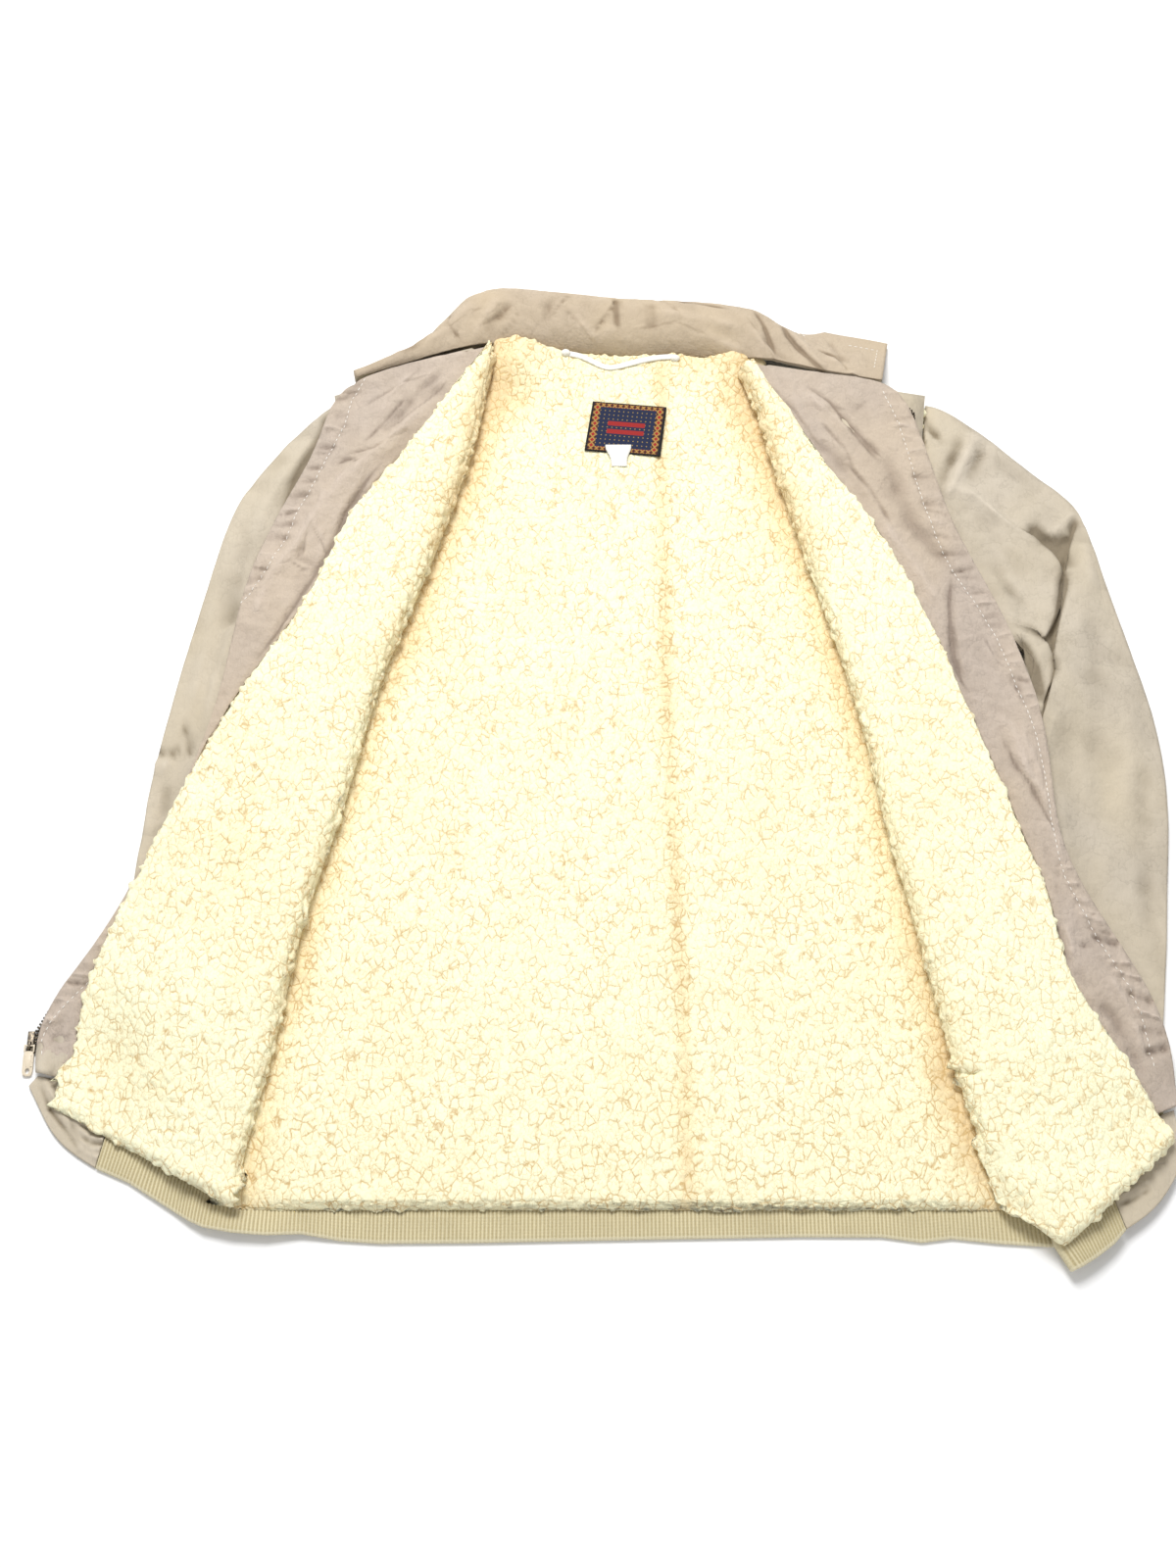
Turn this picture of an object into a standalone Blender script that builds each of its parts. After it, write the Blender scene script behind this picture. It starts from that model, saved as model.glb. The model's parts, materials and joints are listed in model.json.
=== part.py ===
# Sherpa lined jacket, lying open on its back: a poplin shell, a thick pile lining, a shirt collar,
# a knitted hem rib and a long front zip. Metres, +X to the wearer's left, +Y to the collar, +Z up.
# The back shell's underside is at z = 0. Each front is turned out over itself along a soft fold.
import math

import bmesh
import bpy
from mathutils import Vector

GAP = 0.0003
HALF_GAP = 0.00015
SHELL = 0.0015
FACING = 0.0012
PILE = 0.0080
PILE_PRESSED = 0.0040
RIB_WALL = 0.0030
RIB_TUCKED = 0.0014
TAB_WALL = 0.0020
SLEEVE_WALL = 0.0016
CUFF_WALL = 0.0016
COLLAR_PLY = 0.0013
COLLAR_HALF_GAP = 0.00030
TAPE = 0.0008
LOOP_PLY = 0.0010
LABEL_PLY = 0.0010

# The back: its hem seam, how far its pile hangs past that seam, how thick the pile is in the last
# three rows below the fronts, and how far inside the folds its grid has a line.
HEM_Y = -0.2637
OVERHANG = 0.0175
PILE_AT_HEM = (0.0030, 0.0019, 0.0019)
BACK_INSET = 0.018
BACK_SECTIONS = (0, 1, 3, 5, 6, 7, 8, 10, 12, 14, 16, 17, 18)

# Across the back: where its inner lines stand, and how many columns at each side are pressed by the
# fronts and how many between them are open.
BACK_MIDDLE = 0.5
BACK_QUARTERS = (0.25, 0.75)
PRESSED_COLUMNS = 3
OPEN_COLUMNS = 5

# The columns of a front's section: lower leaf, rounded fold, upper leaf, facing.
LOWER_PARTS = 3
NOSE_PARTS = 4
UPPER_PARTS = 5
FACING_PARTS = 3
FOLD_START = LOWER_PARTS
UPPER_START = LOWER_PARTS + NOSE_PARTS
PILE_COLUMN = UPPER_START + UPPER_PARTS
EDGE_COLUMN = PILE_COLUMN + FACING_PARTS

# The upper leaf: where along it each given height applies, its least width, the drop of the rim
# above which the facing curves down, and the part of the fold over which the pile swells.
UPPER_BREAKS = (0.0, 0.25, 0.6, 1.0)
LEAST_UPPER = 0.004
STEEP_DROP = 0.003
NOSE_SWELL = 0.6

# The ground under the upper leaves: the top of the body's lower leaves, how far past the side seam
# these reach, how wide round a point the sleeves' tops count and the space that stays free.
BODY_TOP = 0.01205
BODY_REACH = 0.010
REACH_ALONG = 0.028
REACH_ACROSS = 0.020
REACH_AT_EDGE = 0.009
LEAF_SPACE = 0.0004
ZIP_SPACE = 6.0 * GAP

# The facing's height above the fold face, its gap to the pile and how a steep facing widens it.
FACING_STEP = 3.4 * GAP
FACING_GAP = 3.6 * GAP
STEEP_GAP = 7.0 * GAP

# The zip tape below the shell: its step down, the lines it runs along inside the front's edge, and
# the sections in which it looks out past that edge instead.
TAPE_STEP = 4.6 * GAP
TAPE_LINES = (0.0070, 0.0040)
TAPE_INSET = 0.0010
RIGHT_TAPE_OUT = {16: -0.0027}
LEFT_TAPE_OUT = {0: -0.0025, 1: -0.0030}

# The end of the hanging pile: its lower half's drop, the fold's pull inward, how far it follows and
# how much of the section's own lean its upright end keeps.
HEM_DROP = 0.0010
END_LEAN = 0.5
NOSE_TUCK = 0.003
NOSE_FOLLOW = 0.9

# The sleeves: points across, how the first rings follow the armhole, the height they rest at, the
# slit between their faces, the climb on to the body, the rounding of the inner edges, the cuffs, and
# how closely the upper faces are sampled for the fronts that lie on them.
ACROSS = 8
ARMHOLE_SHARES = (1.0, 0.55, 0.25, 0.08)
SLEEVE_BASE = 0.0003
SLEEVE_SLIT = 0.0006
CLIMB_EARLY = 0.36
CLIMB_SPAN = 0.30
CLIMB_FLATTEN = 0.9
EDGE_TUCK = 0.0025
CUFF_STEPS = (GAP, 0.025, 0.050)
CUFF_DRAW_IN = 0.004
TOP_STEPS_ALONG = 4
TOP_STEPS_ACROSS = 3

# The collar's move up from its seam, the points of its roll (share of the way from seam to roll,
# the height it starts from and its share of the rise to the top) and the flat end's hump.
COLLAR_SHIFT = 0.0024
ROLL_POINTS = (
    (0.14, "seam", 0.60), (0.42, "seam", 0.96), (0.74, "low", 1.00), (0.96, "low", 0.72),
    (0.96, "low", 0.26), (0.74, "low", 0.00), (0.20, "low", 0.00),
)
FLAT_HUMP = 0.0015
FLAT_EARLY = 1.02

# The shares of the band's depth at which the rib and the tabs have a line; the rib lifts past the
# second one. Under the pile both are thin, outside it they have their full thickness.
RIB_SHARES = (0.0, 0.50, 0.56, 1.0)
RIB_WALLS = (RIB_TUCKED, RIB_TUCKED, RIB_WALL, RIB_WALL)
TAB_SHARES = (0.0, 0.40, 0.55, 1.0)
TAB_WALLS = (RIB_TUCKED, RIB_TUCKED, TAB_WALL, TAB_WALL)

COLOURS = {
    "shell": (0.62, 0.53, 0.40, 1.0),
    "pile": (0.90, 0.82, 0.64, 1.0),
    "facing": (0.60, 0.49, 0.39, 1.0),
    "rib": (0.47, 0.40, 0.24, 1.0),
    "label": (0.03, 0.05, 0.12, 1.0),
    "tape": (0.85, 0.84, 0.80, 1.0),
    "zip_tape": (0.66, 0.57, 0.43, 1.0),
    "zip_metal": (0.07, 0.06, 0.05, 1.0),
    "pull": (0.70, 0.61, 0.47, 1.0),
}

# One row for each section of a front, from the collar to the hem: the side (or shoulder, or armhole)
# seam, the fold, the seam from lining to facing and the front edge, x outwards from the centre.
FRONT_COLUMNS = ("seam_x", "seam_y", "fold_x", "fold_y", "pile_x", "pile_y", "edge_x", "edge_y")
RIGHT_FRONT = [
    (0.2120, 0.3020, 0.0990, 0.3375, 0.1045, 0.3405, 0.1985, 0.3125),
    (0.2090, 0.2800, 0.1010, 0.3060, 0.1240, 0.3060, 0.2140, 0.2900),
    (0.2060, 0.2500, 0.1065, 0.2740, 0.1430, 0.2740, 0.2200, 0.2620),
    (0.2040, 0.2200, 0.1140, 0.2400, 0.1670, 0.2370, 0.2300, 0.2340),
    (0.2060, 0.1900, 0.1235, 0.2080, 0.1900, 0.2080, 0.2435, 0.2060),
    (0.2130, 0.1600, 0.1320, 0.1780, 0.2025, 0.1780, 0.2530, 0.1780),
    (0.2260, 0.1350, 0.1430, 0.1440, 0.2130, 0.1460, 0.2630, 0.1440),
    (0.2480, 0.1120, 0.1540, 0.1120, 0.2280, 0.1130, 0.2670, 0.1140),
    (0.2680, 0.0850, 0.1660, 0.0790, 0.2480, 0.0800, 0.2715, 0.0810),
    (0.2680, 0.0500, 0.1735, 0.0480, 0.2650, 0.0500, 0.2760, 0.0490),
    (0.2670, 0.0180, 0.1800, 0.0180, 0.2800, 0.0190, 0.2835, 0.0180),
    (0.2660, -0.0150, 0.1870, -0.0150, 0.2935, -0.0150, 0.2960, -0.0150),
    (0.2640, -0.0500, 0.1950, -0.0480, 0.3080, -0.0480, 0.3110, -0.0480),
    (0.2620, -0.0850, 0.2060, -0.0840, 0.3225, -0.0840, 0.3265, -0.0845),
    (0.2600, -0.1200, 0.2135, -0.1200, 0.3370, -0.1200, 0.3455, -0.1195),
    (0.2570, -0.1500, 0.2190, -0.1540, 0.3460, -0.1500, 0.3655, -0.1480),
    (0.2540, -0.1800, 0.2240, -0.1860, 0.3490, -0.1740, 0.3745, -0.1720),
    (0.2540, -0.2150, 0.2310, -0.2180, 0.3480, -0.1920, 0.3752, -0.1870),
    (0.2570, -0.2600, 0.2400, -0.2620, 0.3440, -0.2060, 0.3735, -0.2000),
]
LEFT_FRONT = [
    (0.2120, 0.3020, 0.0850, 0.3230, 0.0890, 0.3260, 0.1875, 0.3085),
    (0.2090, 0.2800, 0.0880, 0.2950, 0.1030, 0.2950, 0.2000, 0.2860),
    (0.2060, 0.2500, 0.0935, 0.2680, 0.1180, 0.2680, 0.2060, 0.2620),
    (0.2040, 0.2200, 0.1015, 0.2330, 0.1405, 0.2330, 0.2125, 0.2330),
    (0.2060, 0.1900, 0.1085, 0.2080, 0.1575, 0.2080, 0.2190, 0.2080),
    (0.2130, 0.1600, 0.1160, 0.1770, 0.1740, 0.1780, 0.2275, 0.1790),
    (0.2260, 0.1350, 0.1250, 0.1440, 0.1880, 0.1440, 0.2400, 0.1450),
    (0.2480, 0.1120, 0.1340, 0.1110, 0.1995, 0.1120, 0.2520, 0.1130),
    (0.2680, 0.0850, 0.1420, 0.0780, 0.2110, 0.0800, 0.2615, 0.0810),
    (0.2680, 0.0500, 0.1490, 0.0480, 0.2190, 0.0490, 0.2690, 0.0500),
    (0.2670, 0.0180, 0.1550, 0.0170, 0.2300, 0.0170, 0.2723, 0.0180),
    (0.2660, -0.0150, 0.1592, -0.0150, 0.2405, -0.0150, 0.2726, -0.0150),
    (0.2640, -0.0500, 0.1650, -0.0500, 0.2500, -0.0500, 0.2735, -0.0500),
    (0.2620, -0.0850, 0.1735, -0.0850, 0.2625, -0.0840, 0.2868, -0.0850),
    (0.2600, -0.1200, 0.1800, -0.1200, 0.2660, -0.1180, 0.3070, -0.1190),
    (0.2570, -0.1500, 0.1860, -0.1520, 0.2720, -0.1500, 0.3235, -0.1500),
    (0.2540, -0.1800, 0.1930, -0.1840, 0.2930, -0.1820, 0.3315, -0.1780),
    (0.2540, -0.2150, 0.1990, -0.2160, 0.3080, -0.2080, 0.3325, -0.2020),
    (0.2570, -0.2600, 0.2200, -0.2800, 0.3170, -0.2290, 0.3320, -0.2230),
]

# Heights in millimetres of the face between the shell and the lining, a row for each section:
# low = lower leaf, gap = from lower to upper leaf at the fold, under = pressed pile below the lower
# leaf, rise / mid / out / rim = upper leaf next to the fold, halfway, at the facing and at the edge.
HEIGHT_COLUMNS = ("low", "gap", "under", "rise", "mid", "out", "rim")
RIGHT_HEIGHTS = [
    (10.4, 7.0, 4.0, 17.4, 17.4, 17.0, 13.0),
    (10.4, 7.0, 4.0, 17.4, 17.2, 16.5, 12.0),
    (10.4, 7.0, 4.0, 17.6, 17.2, 16.0, 14.0),
    (10.4, 7.0, 4.0, 17.8, 17.2, 15.5, 11.0),
    (10.4, 7.0, 4.0, 17.8, 17.2, 15.5, 11.0),
    (10.4, 7.0, 4.0, 18.0, 17.5, 16.0, 11.5),
    (10.4, 7.0, 4.0, 18.2, 18.0, 17.5, 13.0),
    (10.4, 7.0, 4.0, 18.4, 18.6, 19.4, 17.0),
    (10.4, 7.0, 4.0, 18.6, 19.4, 20.4, 19.4),
    (10.4, 7.0, 4.0, 18.6, 20.0, 20.4, 19.0),
    (10.4, 7.0, 4.0, 18.6, 20.4, 19.8, 15.0),
    (10.4, 7.0, 4.0, 18.6, 20.4, 17.0, 11.0),
    (10.4, 7.0, 4.0, 18.6, 20.4, 13.0, 8.4),
    (10.4, 7.0, 4.0, 18.6, 20.4, 9.5, 7.6),
    (10.2, 6.8, 3.8, 18.2, 20.0, 7.0, 5.0),
    (9.8, 6.4, 3.6, 17.4, 19.0, 4.6, 3.6),
    (9.0, 6.0, 2.8, 15.6, 16.5, 3.2, 2.8),
    (7.6, 5.2, 2.4, 12.6, 9.5, 2.4, 2.4),
    (6.0, 4.2, 1.3, 9.8, 4.6, 2.0, 2.0),
]
LEFT_HEIGHTS = [
    (10.4, 7.0, 4.0, 17.4, 17.2, 16.5, 14.0),
    (10.4, 7.0, 4.0, 17.4, 17.2, 15.5, 13.0),
    (10.4, 7.0, 4.0, 17.6, 17.2, 15.0, 13.0),
    (10.4, 7.0, 4.0, 17.8, 17.2, 15.0, 13.0),
    (10.4, 7.0, 4.0, 17.8, 17.2, 15.0, 13.0),
    (10.4, 7.0, 4.0, 18.0, 17.5, 15.5, 13.0),
    (10.4, 7.0, 4.0, 18.0, 18.0, 16.5, 14.0),
    (10.4, 7.0, 4.0, 18.0, 18.4, 18.0, 17.0),
    (10.4, 7.0, 4.0, 18.2, 19.0, 20.0, 19.6),
    (10.4, 7.0, 4.0, 18.2, 19.6, 20.6, 20.0),
    (10.4, 7.0, 4.0, 18.2, 19.6, 21.0, 20.6),
    (10.4, 7.0, 4.0, 18.2, 19.6, 21.0, 20.6),
    (10.4, 7.0, 4.0, 18.2, 19.6, 20.6, 19.6),
    (10.4, 7.0, 4.0, 18.2, 19.6, 20.2, 17.0),
    (10.4, 7.0, 4.0, 18.2, 19.4, 20.0, 13.0),
    (10.4, 7.0, 4.0, 17.8, 19.0, 18.6, 10.0),
    (10.0, 7.0, 3.8, 17.4, 17.6, 14.0, 8.0),
    (9.0, 6.4, 3.4, 15.6, 17.0, 14.0, 8.4),
    (6.4, 4.6, 2.0, 11.2, 11.0, 8.6, 7.2),
]

# The upper leaf's pile hangs past the hem seam as far as these points, raised a little (mm).
RIGHT_PILE_END = {"fold": (0.2360, -0.2820), "pile": (0.3570, -0.2180), "raise": 0.0}
LEFT_PILE_END = {"fold": (0.2460, -0.3060), "pile": (0.3270, -0.2410), "raise": 1.9}

NECKLINE = [
    (-0.2120, 0.3020), (-0.1000, 0.3420), (-0.0600, 0.3440), (-0.0300, 0.3410), (0.0000, 0.3380),
    (0.0300, 0.3405), (0.0660, 0.3350), (0.0900, 0.3270), (0.2120, 0.3020),
]

# A row for each section of a sleeve: the outer edge, the inner edge, the height of the inner edge's
# underside, how far along (0 outer, 1 inner) the sleeve has climbed on to the body, and its height.
SLEEVE_COLUMNS = ("out_x", "out_y", "in_x", "in_y", "in_z", "lift", "tall")
RIGHT_SLEEVE = [
    (0.2150, 0.3000, 0.2700, 0.0885, 12.6, 0.98, 6.0),
    (0.2300, 0.2850, 0.2700, 0.0820, 12.6, 0.92, 7.5),
    (0.2470, 0.2660, 0.2670, 0.0740, 12.6, 0.90, 8.5),
    (0.2640, 0.2400, 0.2640, 0.0640, 12.6, 0.86, 8.5),
    (0.2785, 0.2130, 0.2600, 0.0500, 12.6, 0.74, 8.0),
    (0.2870, 0.1750, 0.2560, 0.0360, 12.6, 0.66, 7.0),
    (0.2960, 0.1320, 0.2520, 0.0180, 12.6, 0.65, 6.0),
    (0.3050, 0.0860, 0.2490, -0.0040, 12.6, 0.66, 5.2),
    (0.3130, 0.0390, 0.2470, -0.0280, 12.6, 0.71, 5.0),
    (0.3200, -0.0060, 0.2450, -0.0520, 12.6, 0.73, 5.0),
    (0.3200, -0.0280, 0.2440, -0.0700, 12.6, 0.73, 5.0),
    (0.3235, -0.0560, 0.2430, -0.0880, 12.6, 0.75, 5.0),
    (0.3250, -0.0880, 0.2560, -0.1080, 12.6, 0.84, 4.6),
    (0.3220, -0.1230, 0.2650, -0.1300, 12.6, 1.00, 4.4),
    (0.3170, -0.1550, 0.2670, -0.1520, 12.6, 1.50, 4.2),
]
LEFT_SLEEVE = [
    (0.2150, 0.3000, 0.2700, 0.0885, 12.6, 0.98, 6.0),
    (0.2260, 0.2970, 0.2712, 0.0820, 12.6, 0.94, 8.0),
    (0.2430, 0.2860, 0.2704, 0.0760, 12.6, 0.88, 9.0),
    (0.2620, 0.2660, 0.2660, 0.0680, 12.6, 0.88, 9.5),
    (0.2820, 0.2430, 0.2620, 0.0560, 12.6, 0.86, 9.5),
    (0.3030, 0.2250, 0.2580, 0.0420, 12.6, 0.81, 9.0),
    (0.3170, 0.2080, 0.2550, 0.0260, 12.6, 0.79, 8.5),
    (0.3195, 0.1850, 0.2530, 0.0080, 12.6, 0.80, 8.0),
    (0.3280, 0.1450, 0.2500, -0.0120, 12.6, 0.80, 7.5),
    (0.3370, 0.1080, 0.2480, -0.0320, 12.6, 0.82, 7.0),
    (0.3450, 0.0720, 0.2460, -0.0540, 12.6, 0.83, 6.5),
    (0.3510, 0.0380, 0.2450, -0.0760, 12.6, 0.84, 6.0),
    (0.3530, 0.0000, 0.2450, -0.0980, 12.6, 0.86, 5.6),
    (0.3500, -0.0400, 0.2450, -0.1200, 12.6, 0.88, 5.2),
    (0.3440, -0.0800, 0.2500, -0.1300, 12.6, 0.89, 5.0),
    (0.3400, -0.1150, 0.2560, -0.1500, 12.6, 0.92, 4.8),
    (0.3350, -0.1480, 0.2660, -0.1740, 12.6, 1.00, 4.6),
    (0.3300, -0.1770, 0.2700, -0.1940, 12.6, 1.50, 4.4),
]
ARMHOLE = [
    (0.2130, 0.2990), (0.2104, 0.2800), (0.2074, 0.2500), (0.2054, 0.2200),
    (0.2076, 0.1895), (0.2150, 0.1590), (0.2294, 0.1324), (0.2512, 0.1088), (0.2704, 0.0870),
]

# The pull tab's hinge and its droop at rest (radians). The slider, its bridge and the tab are
# measured from the hinge across and along, the slider and bridge from the ground upwards.
PULL_AXIS = (-0.3797, -0.1820, 0.0027)
PULL_TILT = 0.065
SLIDER = {"half": 0.0022, "near": -0.0030, "far": 0.0098, "base": 0.0003, "top": 0.0016}
BRIDGE = {"half": 0.0007, "near": -0.0022, "front": -0.0012, "rear": 0.0012, "far": 0.0026,
          "foot": 0.0010, "under": 0.0038, "post_top": 0.0046, "top": 0.0048}
TAB = {"half": 0.0006, "bar": 0.0029, "bar_sides": 8, "arm_in": 0.0024, "arm_out": 0.0033,
       "arm_near": -0.0042, "arm_far": 0.0006, "middle": -0.0115, "reach": 0.0080, "corner": 0.45,
       "hole_y": -0.0163, "hole_half": 0.0014, "hole_reach": 0.0019, "sides": 16}

# The collar from the wearer's right to the left: its seam, the roll (or the flat end's free edge),
# the height of the roll and how far it lies open (1 = flat, the free edge at the roll point).
COLLAR_COLUMNS = ("seam_x", "seam_y", "seam_z", "roll_x", "roll_y", "top", "low", "open")
COLLAR_ROWS = [
    (-0.1975, 0.3136, 15.4, -0.1985, 0.3200, 16.5, 6.0, 0.0),
    (-0.1760, 0.3206, 16.8, -0.1790, 0.3270, 20.0, 3.0, 0.0),
    (-0.1600, 0.3258, 17.6, -0.1620, 0.3360, 22.0, 2.0, 0.0),
    (-0.1430, 0.3312, 18.2, -0.1475, 0.3485, 23.0, 1.6, 0.0),
    (-0.1240, 0.3368, 18.6, -0.1290, 0.3690, 23.0, 1.6, 0.0),
    (-0.1030, 0.3440, 16.0, -0.1100, 0.3850, 23.0, 1.6, 0.0),
    (-0.0850, 0.3460, 8.0, -0.0870, 0.3880, 22.5, 1.6, 0.0),
    (-0.0580, 0.3446, 5.0, -0.0590, 0.3860, 22.0, 1.6, 0.0),
    (-0.0300, 0.3415, 5.0, -0.0310, 0.3830, 21.5, 1.6, 0.0),
    (0.0000, 0.3385, 5.0, -0.0050, 0.3792, 22.0, 1.6, 0.0),
    (0.0300, 0.3410, 5.0, 0.0300, 0.3785, 22.0, 1.6, 0.0),
    (0.0560, 0.3380, 5.0, 0.0590, 0.3765, 22.0, 1.6, 0.0),
    (0.0740, 0.3340, 8.0, 0.0820, 0.3735, 21.5, 1.6, 0.0),
    (0.0880, 0.3300, 16.0, 0.0970, 0.3710, 21.0, 1.6, 0.04),
    (0.1000, 0.3270, 18.4, 0.1090, 0.3690, 20.0, 2.5, 0.22),
    (0.1120, 0.3240, 18.4, 0.1210, 0.3665, 19.0, 4.0, 0.50),
    (0.1230, 0.3212, 18.2, 0.1320, 0.3640, 18.0, 5.0, 0.78),
    (0.1330, 0.3188, 18.0, 0.1430, 0.3618, 17.0, 5.0, 1.0),
    (0.1430, 0.3162, 17.8, 0.1540, 0.3598, 16.0, 4.0, 1.0),
    (0.1620, 0.3125, 17.0, 0.1740, 0.3568, 15.0, 3.0, 1.0),
    (0.1810, 0.3096, 16.0, 0.1890, 0.3530, 14.0, 3.0, 1.0),
]

# The hem rib as a band: its sewn edge, its free edge and the height of its underside (mm).
RIB_COLUMNS = ("top_x", "top_y", "free_x", "free_y", "base", "lift")
RIB_ROWS = [
    (-0.3225, -0.2192, -0.3310, -0.2600, 0.2, 0.0),
    (-0.3000, -0.2326, -0.3100, -0.2690, 0.2, 0.2),
    (-0.2760, -0.2470, -0.2800, -0.2880, 0.2, 1.4),
    (-0.2600, -0.2642, -0.2620, -0.2990, 0.2, 4.6),
    (-0.2430, -0.2642, -0.2460, -0.3008, 0.0, 5.6),
    (-0.2250, -0.2642, -0.2240, -0.3018, 0.0, 5.0),
    (-0.2040, -0.2642, -0.2030, -0.3008, 0.0, 2.6),
    (-0.1800, -0.2642, -0.1790, -0.3045, 0.0, 0.2),
    (-0.1560, -0.2642, -0.1560, -0.3060, 0.0, 0.0),
    (-0.1000, -0.2642, -0.1000, -0.3056, 0.0, 0.0),
    (-0.0300, -0.2642, -0.0300, -0.3042, 0.0, 0.0),
    (0.0400, -0.2642, 0.0400, -0.3030, 0.0, 0.0),
    (0.1000, -0.2642, 0.1000, -0.3020, 0.0, 0.0),
    (0.1470, -0.2642, 0.1470, -0.3022, 0.0, 0.0),
    (0.1710, -0.2642, 0.1710, -0.3055, 0.0, 0.0),
    (0.1890, -0.2642, 0.1890, -0.3032, 0.0, 0.0),
    (0.2160, -0.2642, 0.2160, -0.3060, 0.0, 0.0),
    (0.2420, -0.2660, 0.2470, -0.3080, 0.0, 0.0),
    (0.2600, -0.2720, 0.2690, -0.3080, 0.0, 0.0),
    (0.2630, -0.2722, 0.2720, -0.3082, 1.0, 0.0),
    (0.2645, -0.2724, 0.2735, -0.3084, 3.6, 0.0),
    (0.2630, -0.2726, 0.2720, -0.3086, 6.2, 0.0),
    (0.2600, -0.2728, 0.2690, -0.3090, 7.2, 0.0),
    (0.2430, -0.2850, 0.2640, -0.3200, 7.2, 0.0),
    (0.2400, -0.2864, 0.2610, -0.3225, 7.5, 0.0),
    (0.2390, -0.2868, 0.2600, -0.3235, 8.3, 0.0),
    (0.2400, -0.2864, 0.2610, -0.3232, 9.1, 0.0),
    (0.2430, -0.2836, 0.2650, -0.3215, 9.4, 0.0),
    (0.2570, -0.2722, 0.2740, -0.3160, 9.2, 0.0),
    (0.2700, -0.2624, 0.2850, -0.3080, 8.0, 0.0),
    (0.2800, -0.2552, 0.2930, -0.2995, 7.0, 0.0),
]
RIGHT_TAB = [
    (-0.3229, -0.2190, -0.3314, -0.2598, 0.2, 0.0),
    (-0.3360, -0.2114, -0.3470, -0.2506, 0.2, 0.0),
    (-0.3500, -0.2054, -0.3600, -0.2390, 0.2, 0.0),
    (-0.3620, -0.2030, -0.3690, -0.2230, 0.2, 0.0),
    (-0.3730, -0.2016, -0.3775, -0.2080, 0.2, 0.0),
]
LEFT_TAB = [
    (0.2805, -0.2550, 0.2936, -0.2990, 7.0, 0.0),
    (0.2950, -0.2450, 0.3090, -0.2895, 6.4, 0.0),
    (0.3080, -0.2360, 0.3190, -0.2790, 5.8, 0.0),
    (0.3220, -0.2280, 0.3280, -0.2660, 5.4, 0.0),
    (0.3310, -0.2248, 0.3335, -0.2520, 5.2, 0.0),
]

LOOP_POINTS = [
    (-0.0455, 0.3400), (-0.0360, 0.3385), (-0.0264, 0.3330), (-0.0165, 0.3262),
    (-0.0060, 0.3290), (0.0060, 0.3330), (0.0200, 0.3368), (0.0325, 0.3372),
]
LOOP_WIDE = 0.0042
LABEL_CORNERS = [(-0.0265, 0.2980), (0.0263, 0.2929), (0.0212, 0.2512), (-0.0325, 0.2565)]
LABEL_LINES = 3
LABEL_PARTS = 4

# The size tag: its middle, half its width and the height of its underside (mm), sewn to free end.
TAG_COLUMNS = ("x", "y", "half", "height")
TAG_ROWS = [
    (-0.0085, 0.2600, 0.0092, 11.6), (-0.0085, 0.2560, 0.0092, 11.6),
    (-0.0082, 0.2500, 0.0056, 11.2), (-0.0078, 0.2430, 0.0056, 10.1),
]

sleeve_tops = {"right": [], "left": []}


def clear_scene():
    for item in list(bpy.data.objects):
        bpy.data.objects.remove(item, do_unlink=True)


def blend(a, b, t):
    return a + (b - a) * t


def blend_points(a, b, t):
    return Vector((blend(a[0], b[0], t), blend(a[1], b[1], t), blend(a[2], b[2], t)))


def soft_step(t):
    t = max(0.0, min(1.0, t))
    return t * t * (3.0 - 2.0 * t)


def row_of(columns, row):
    return dict(zip(columns, row))


def grid_normals(grid):
    rows = len(grid)
    cols = len(grid[0])
    normals = []
    for j in range(rows):
        line = []
        for i in range(cols):
            along = grid[j][min(i + 1, cols - 1)] - grid[j][max(i - 1, 0)]
            down = grid[min(j + 1, rows - 1)][i] - grid[max(j - 1, 0)][i]
            line.append(down.cross(along).normalized())
        normals.append(line)
    return normals


def material_for(slot):
    material = bpy.data.materials.get(slot)
    if material is None:
        material = bpy.data.materials.new(slot)
        material.use_nodes = True
        shader = material.node_tree.nodes["Principled BSDF"]
        shader.inputs["Base Color"].default_value = COLOURS[slot]
        shader.inputs["Roughness"].default_value = 0.9
        if slot == "zip_metal":
            shader.inputs["Metallic"].default_value = 1.0
            shader.inputs["Roughness"].default_value = 0.4
    return material


def add_object(name, verts, faces, slot, smooth=True):
    mesh = bpy.data.meshes.new(name)
    mesh.from_pydata([tuple(v) for v in verts], [], faces)
    work = bmesh.new()
    work.from_mesh(mesh)
    bmesh.ops.recalc_face_normals(work, faces=work.faces)
    if work.calc_volume(signed=True) < 0.0:
        bmesh.ops.reverse_faces(work, faces=work.faces)
    bmesh.ops.triangulate(work, faces=work.faces)
    work.to_mesh(mesh)
    work.free()
    for face in mesh.polygons:
        face.use_smooth = smooth
    mesh.materials.append(material_for(slot))
    item = bpy.data.objects.new(name, mesh)
    bpy.context.scene.collection.objects.link(item)
    return item


def sheet(name, grid, near, far, slot, side=1.0, normals=None):
    # a sheet of cloth between two faces, each a distance (one for each column) from the grid
    normals = normals or grid_normals(grid)
    pair = [offset_grid(grid, normals, offsets) for offsets in (near, far)]
    return between(name, pair[0], pair[1], slot, side)


def offset_grid(grid, normals, offsets):
    faces = []
    for j, line in enumerate(grid):
        given = offsets[j] if isinstance(offsets[0], (list, tuple)) else offsets
        faces.append([point + normals[j][i] * given[i] for i, point in enumerate(line)])
    return faces


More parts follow.
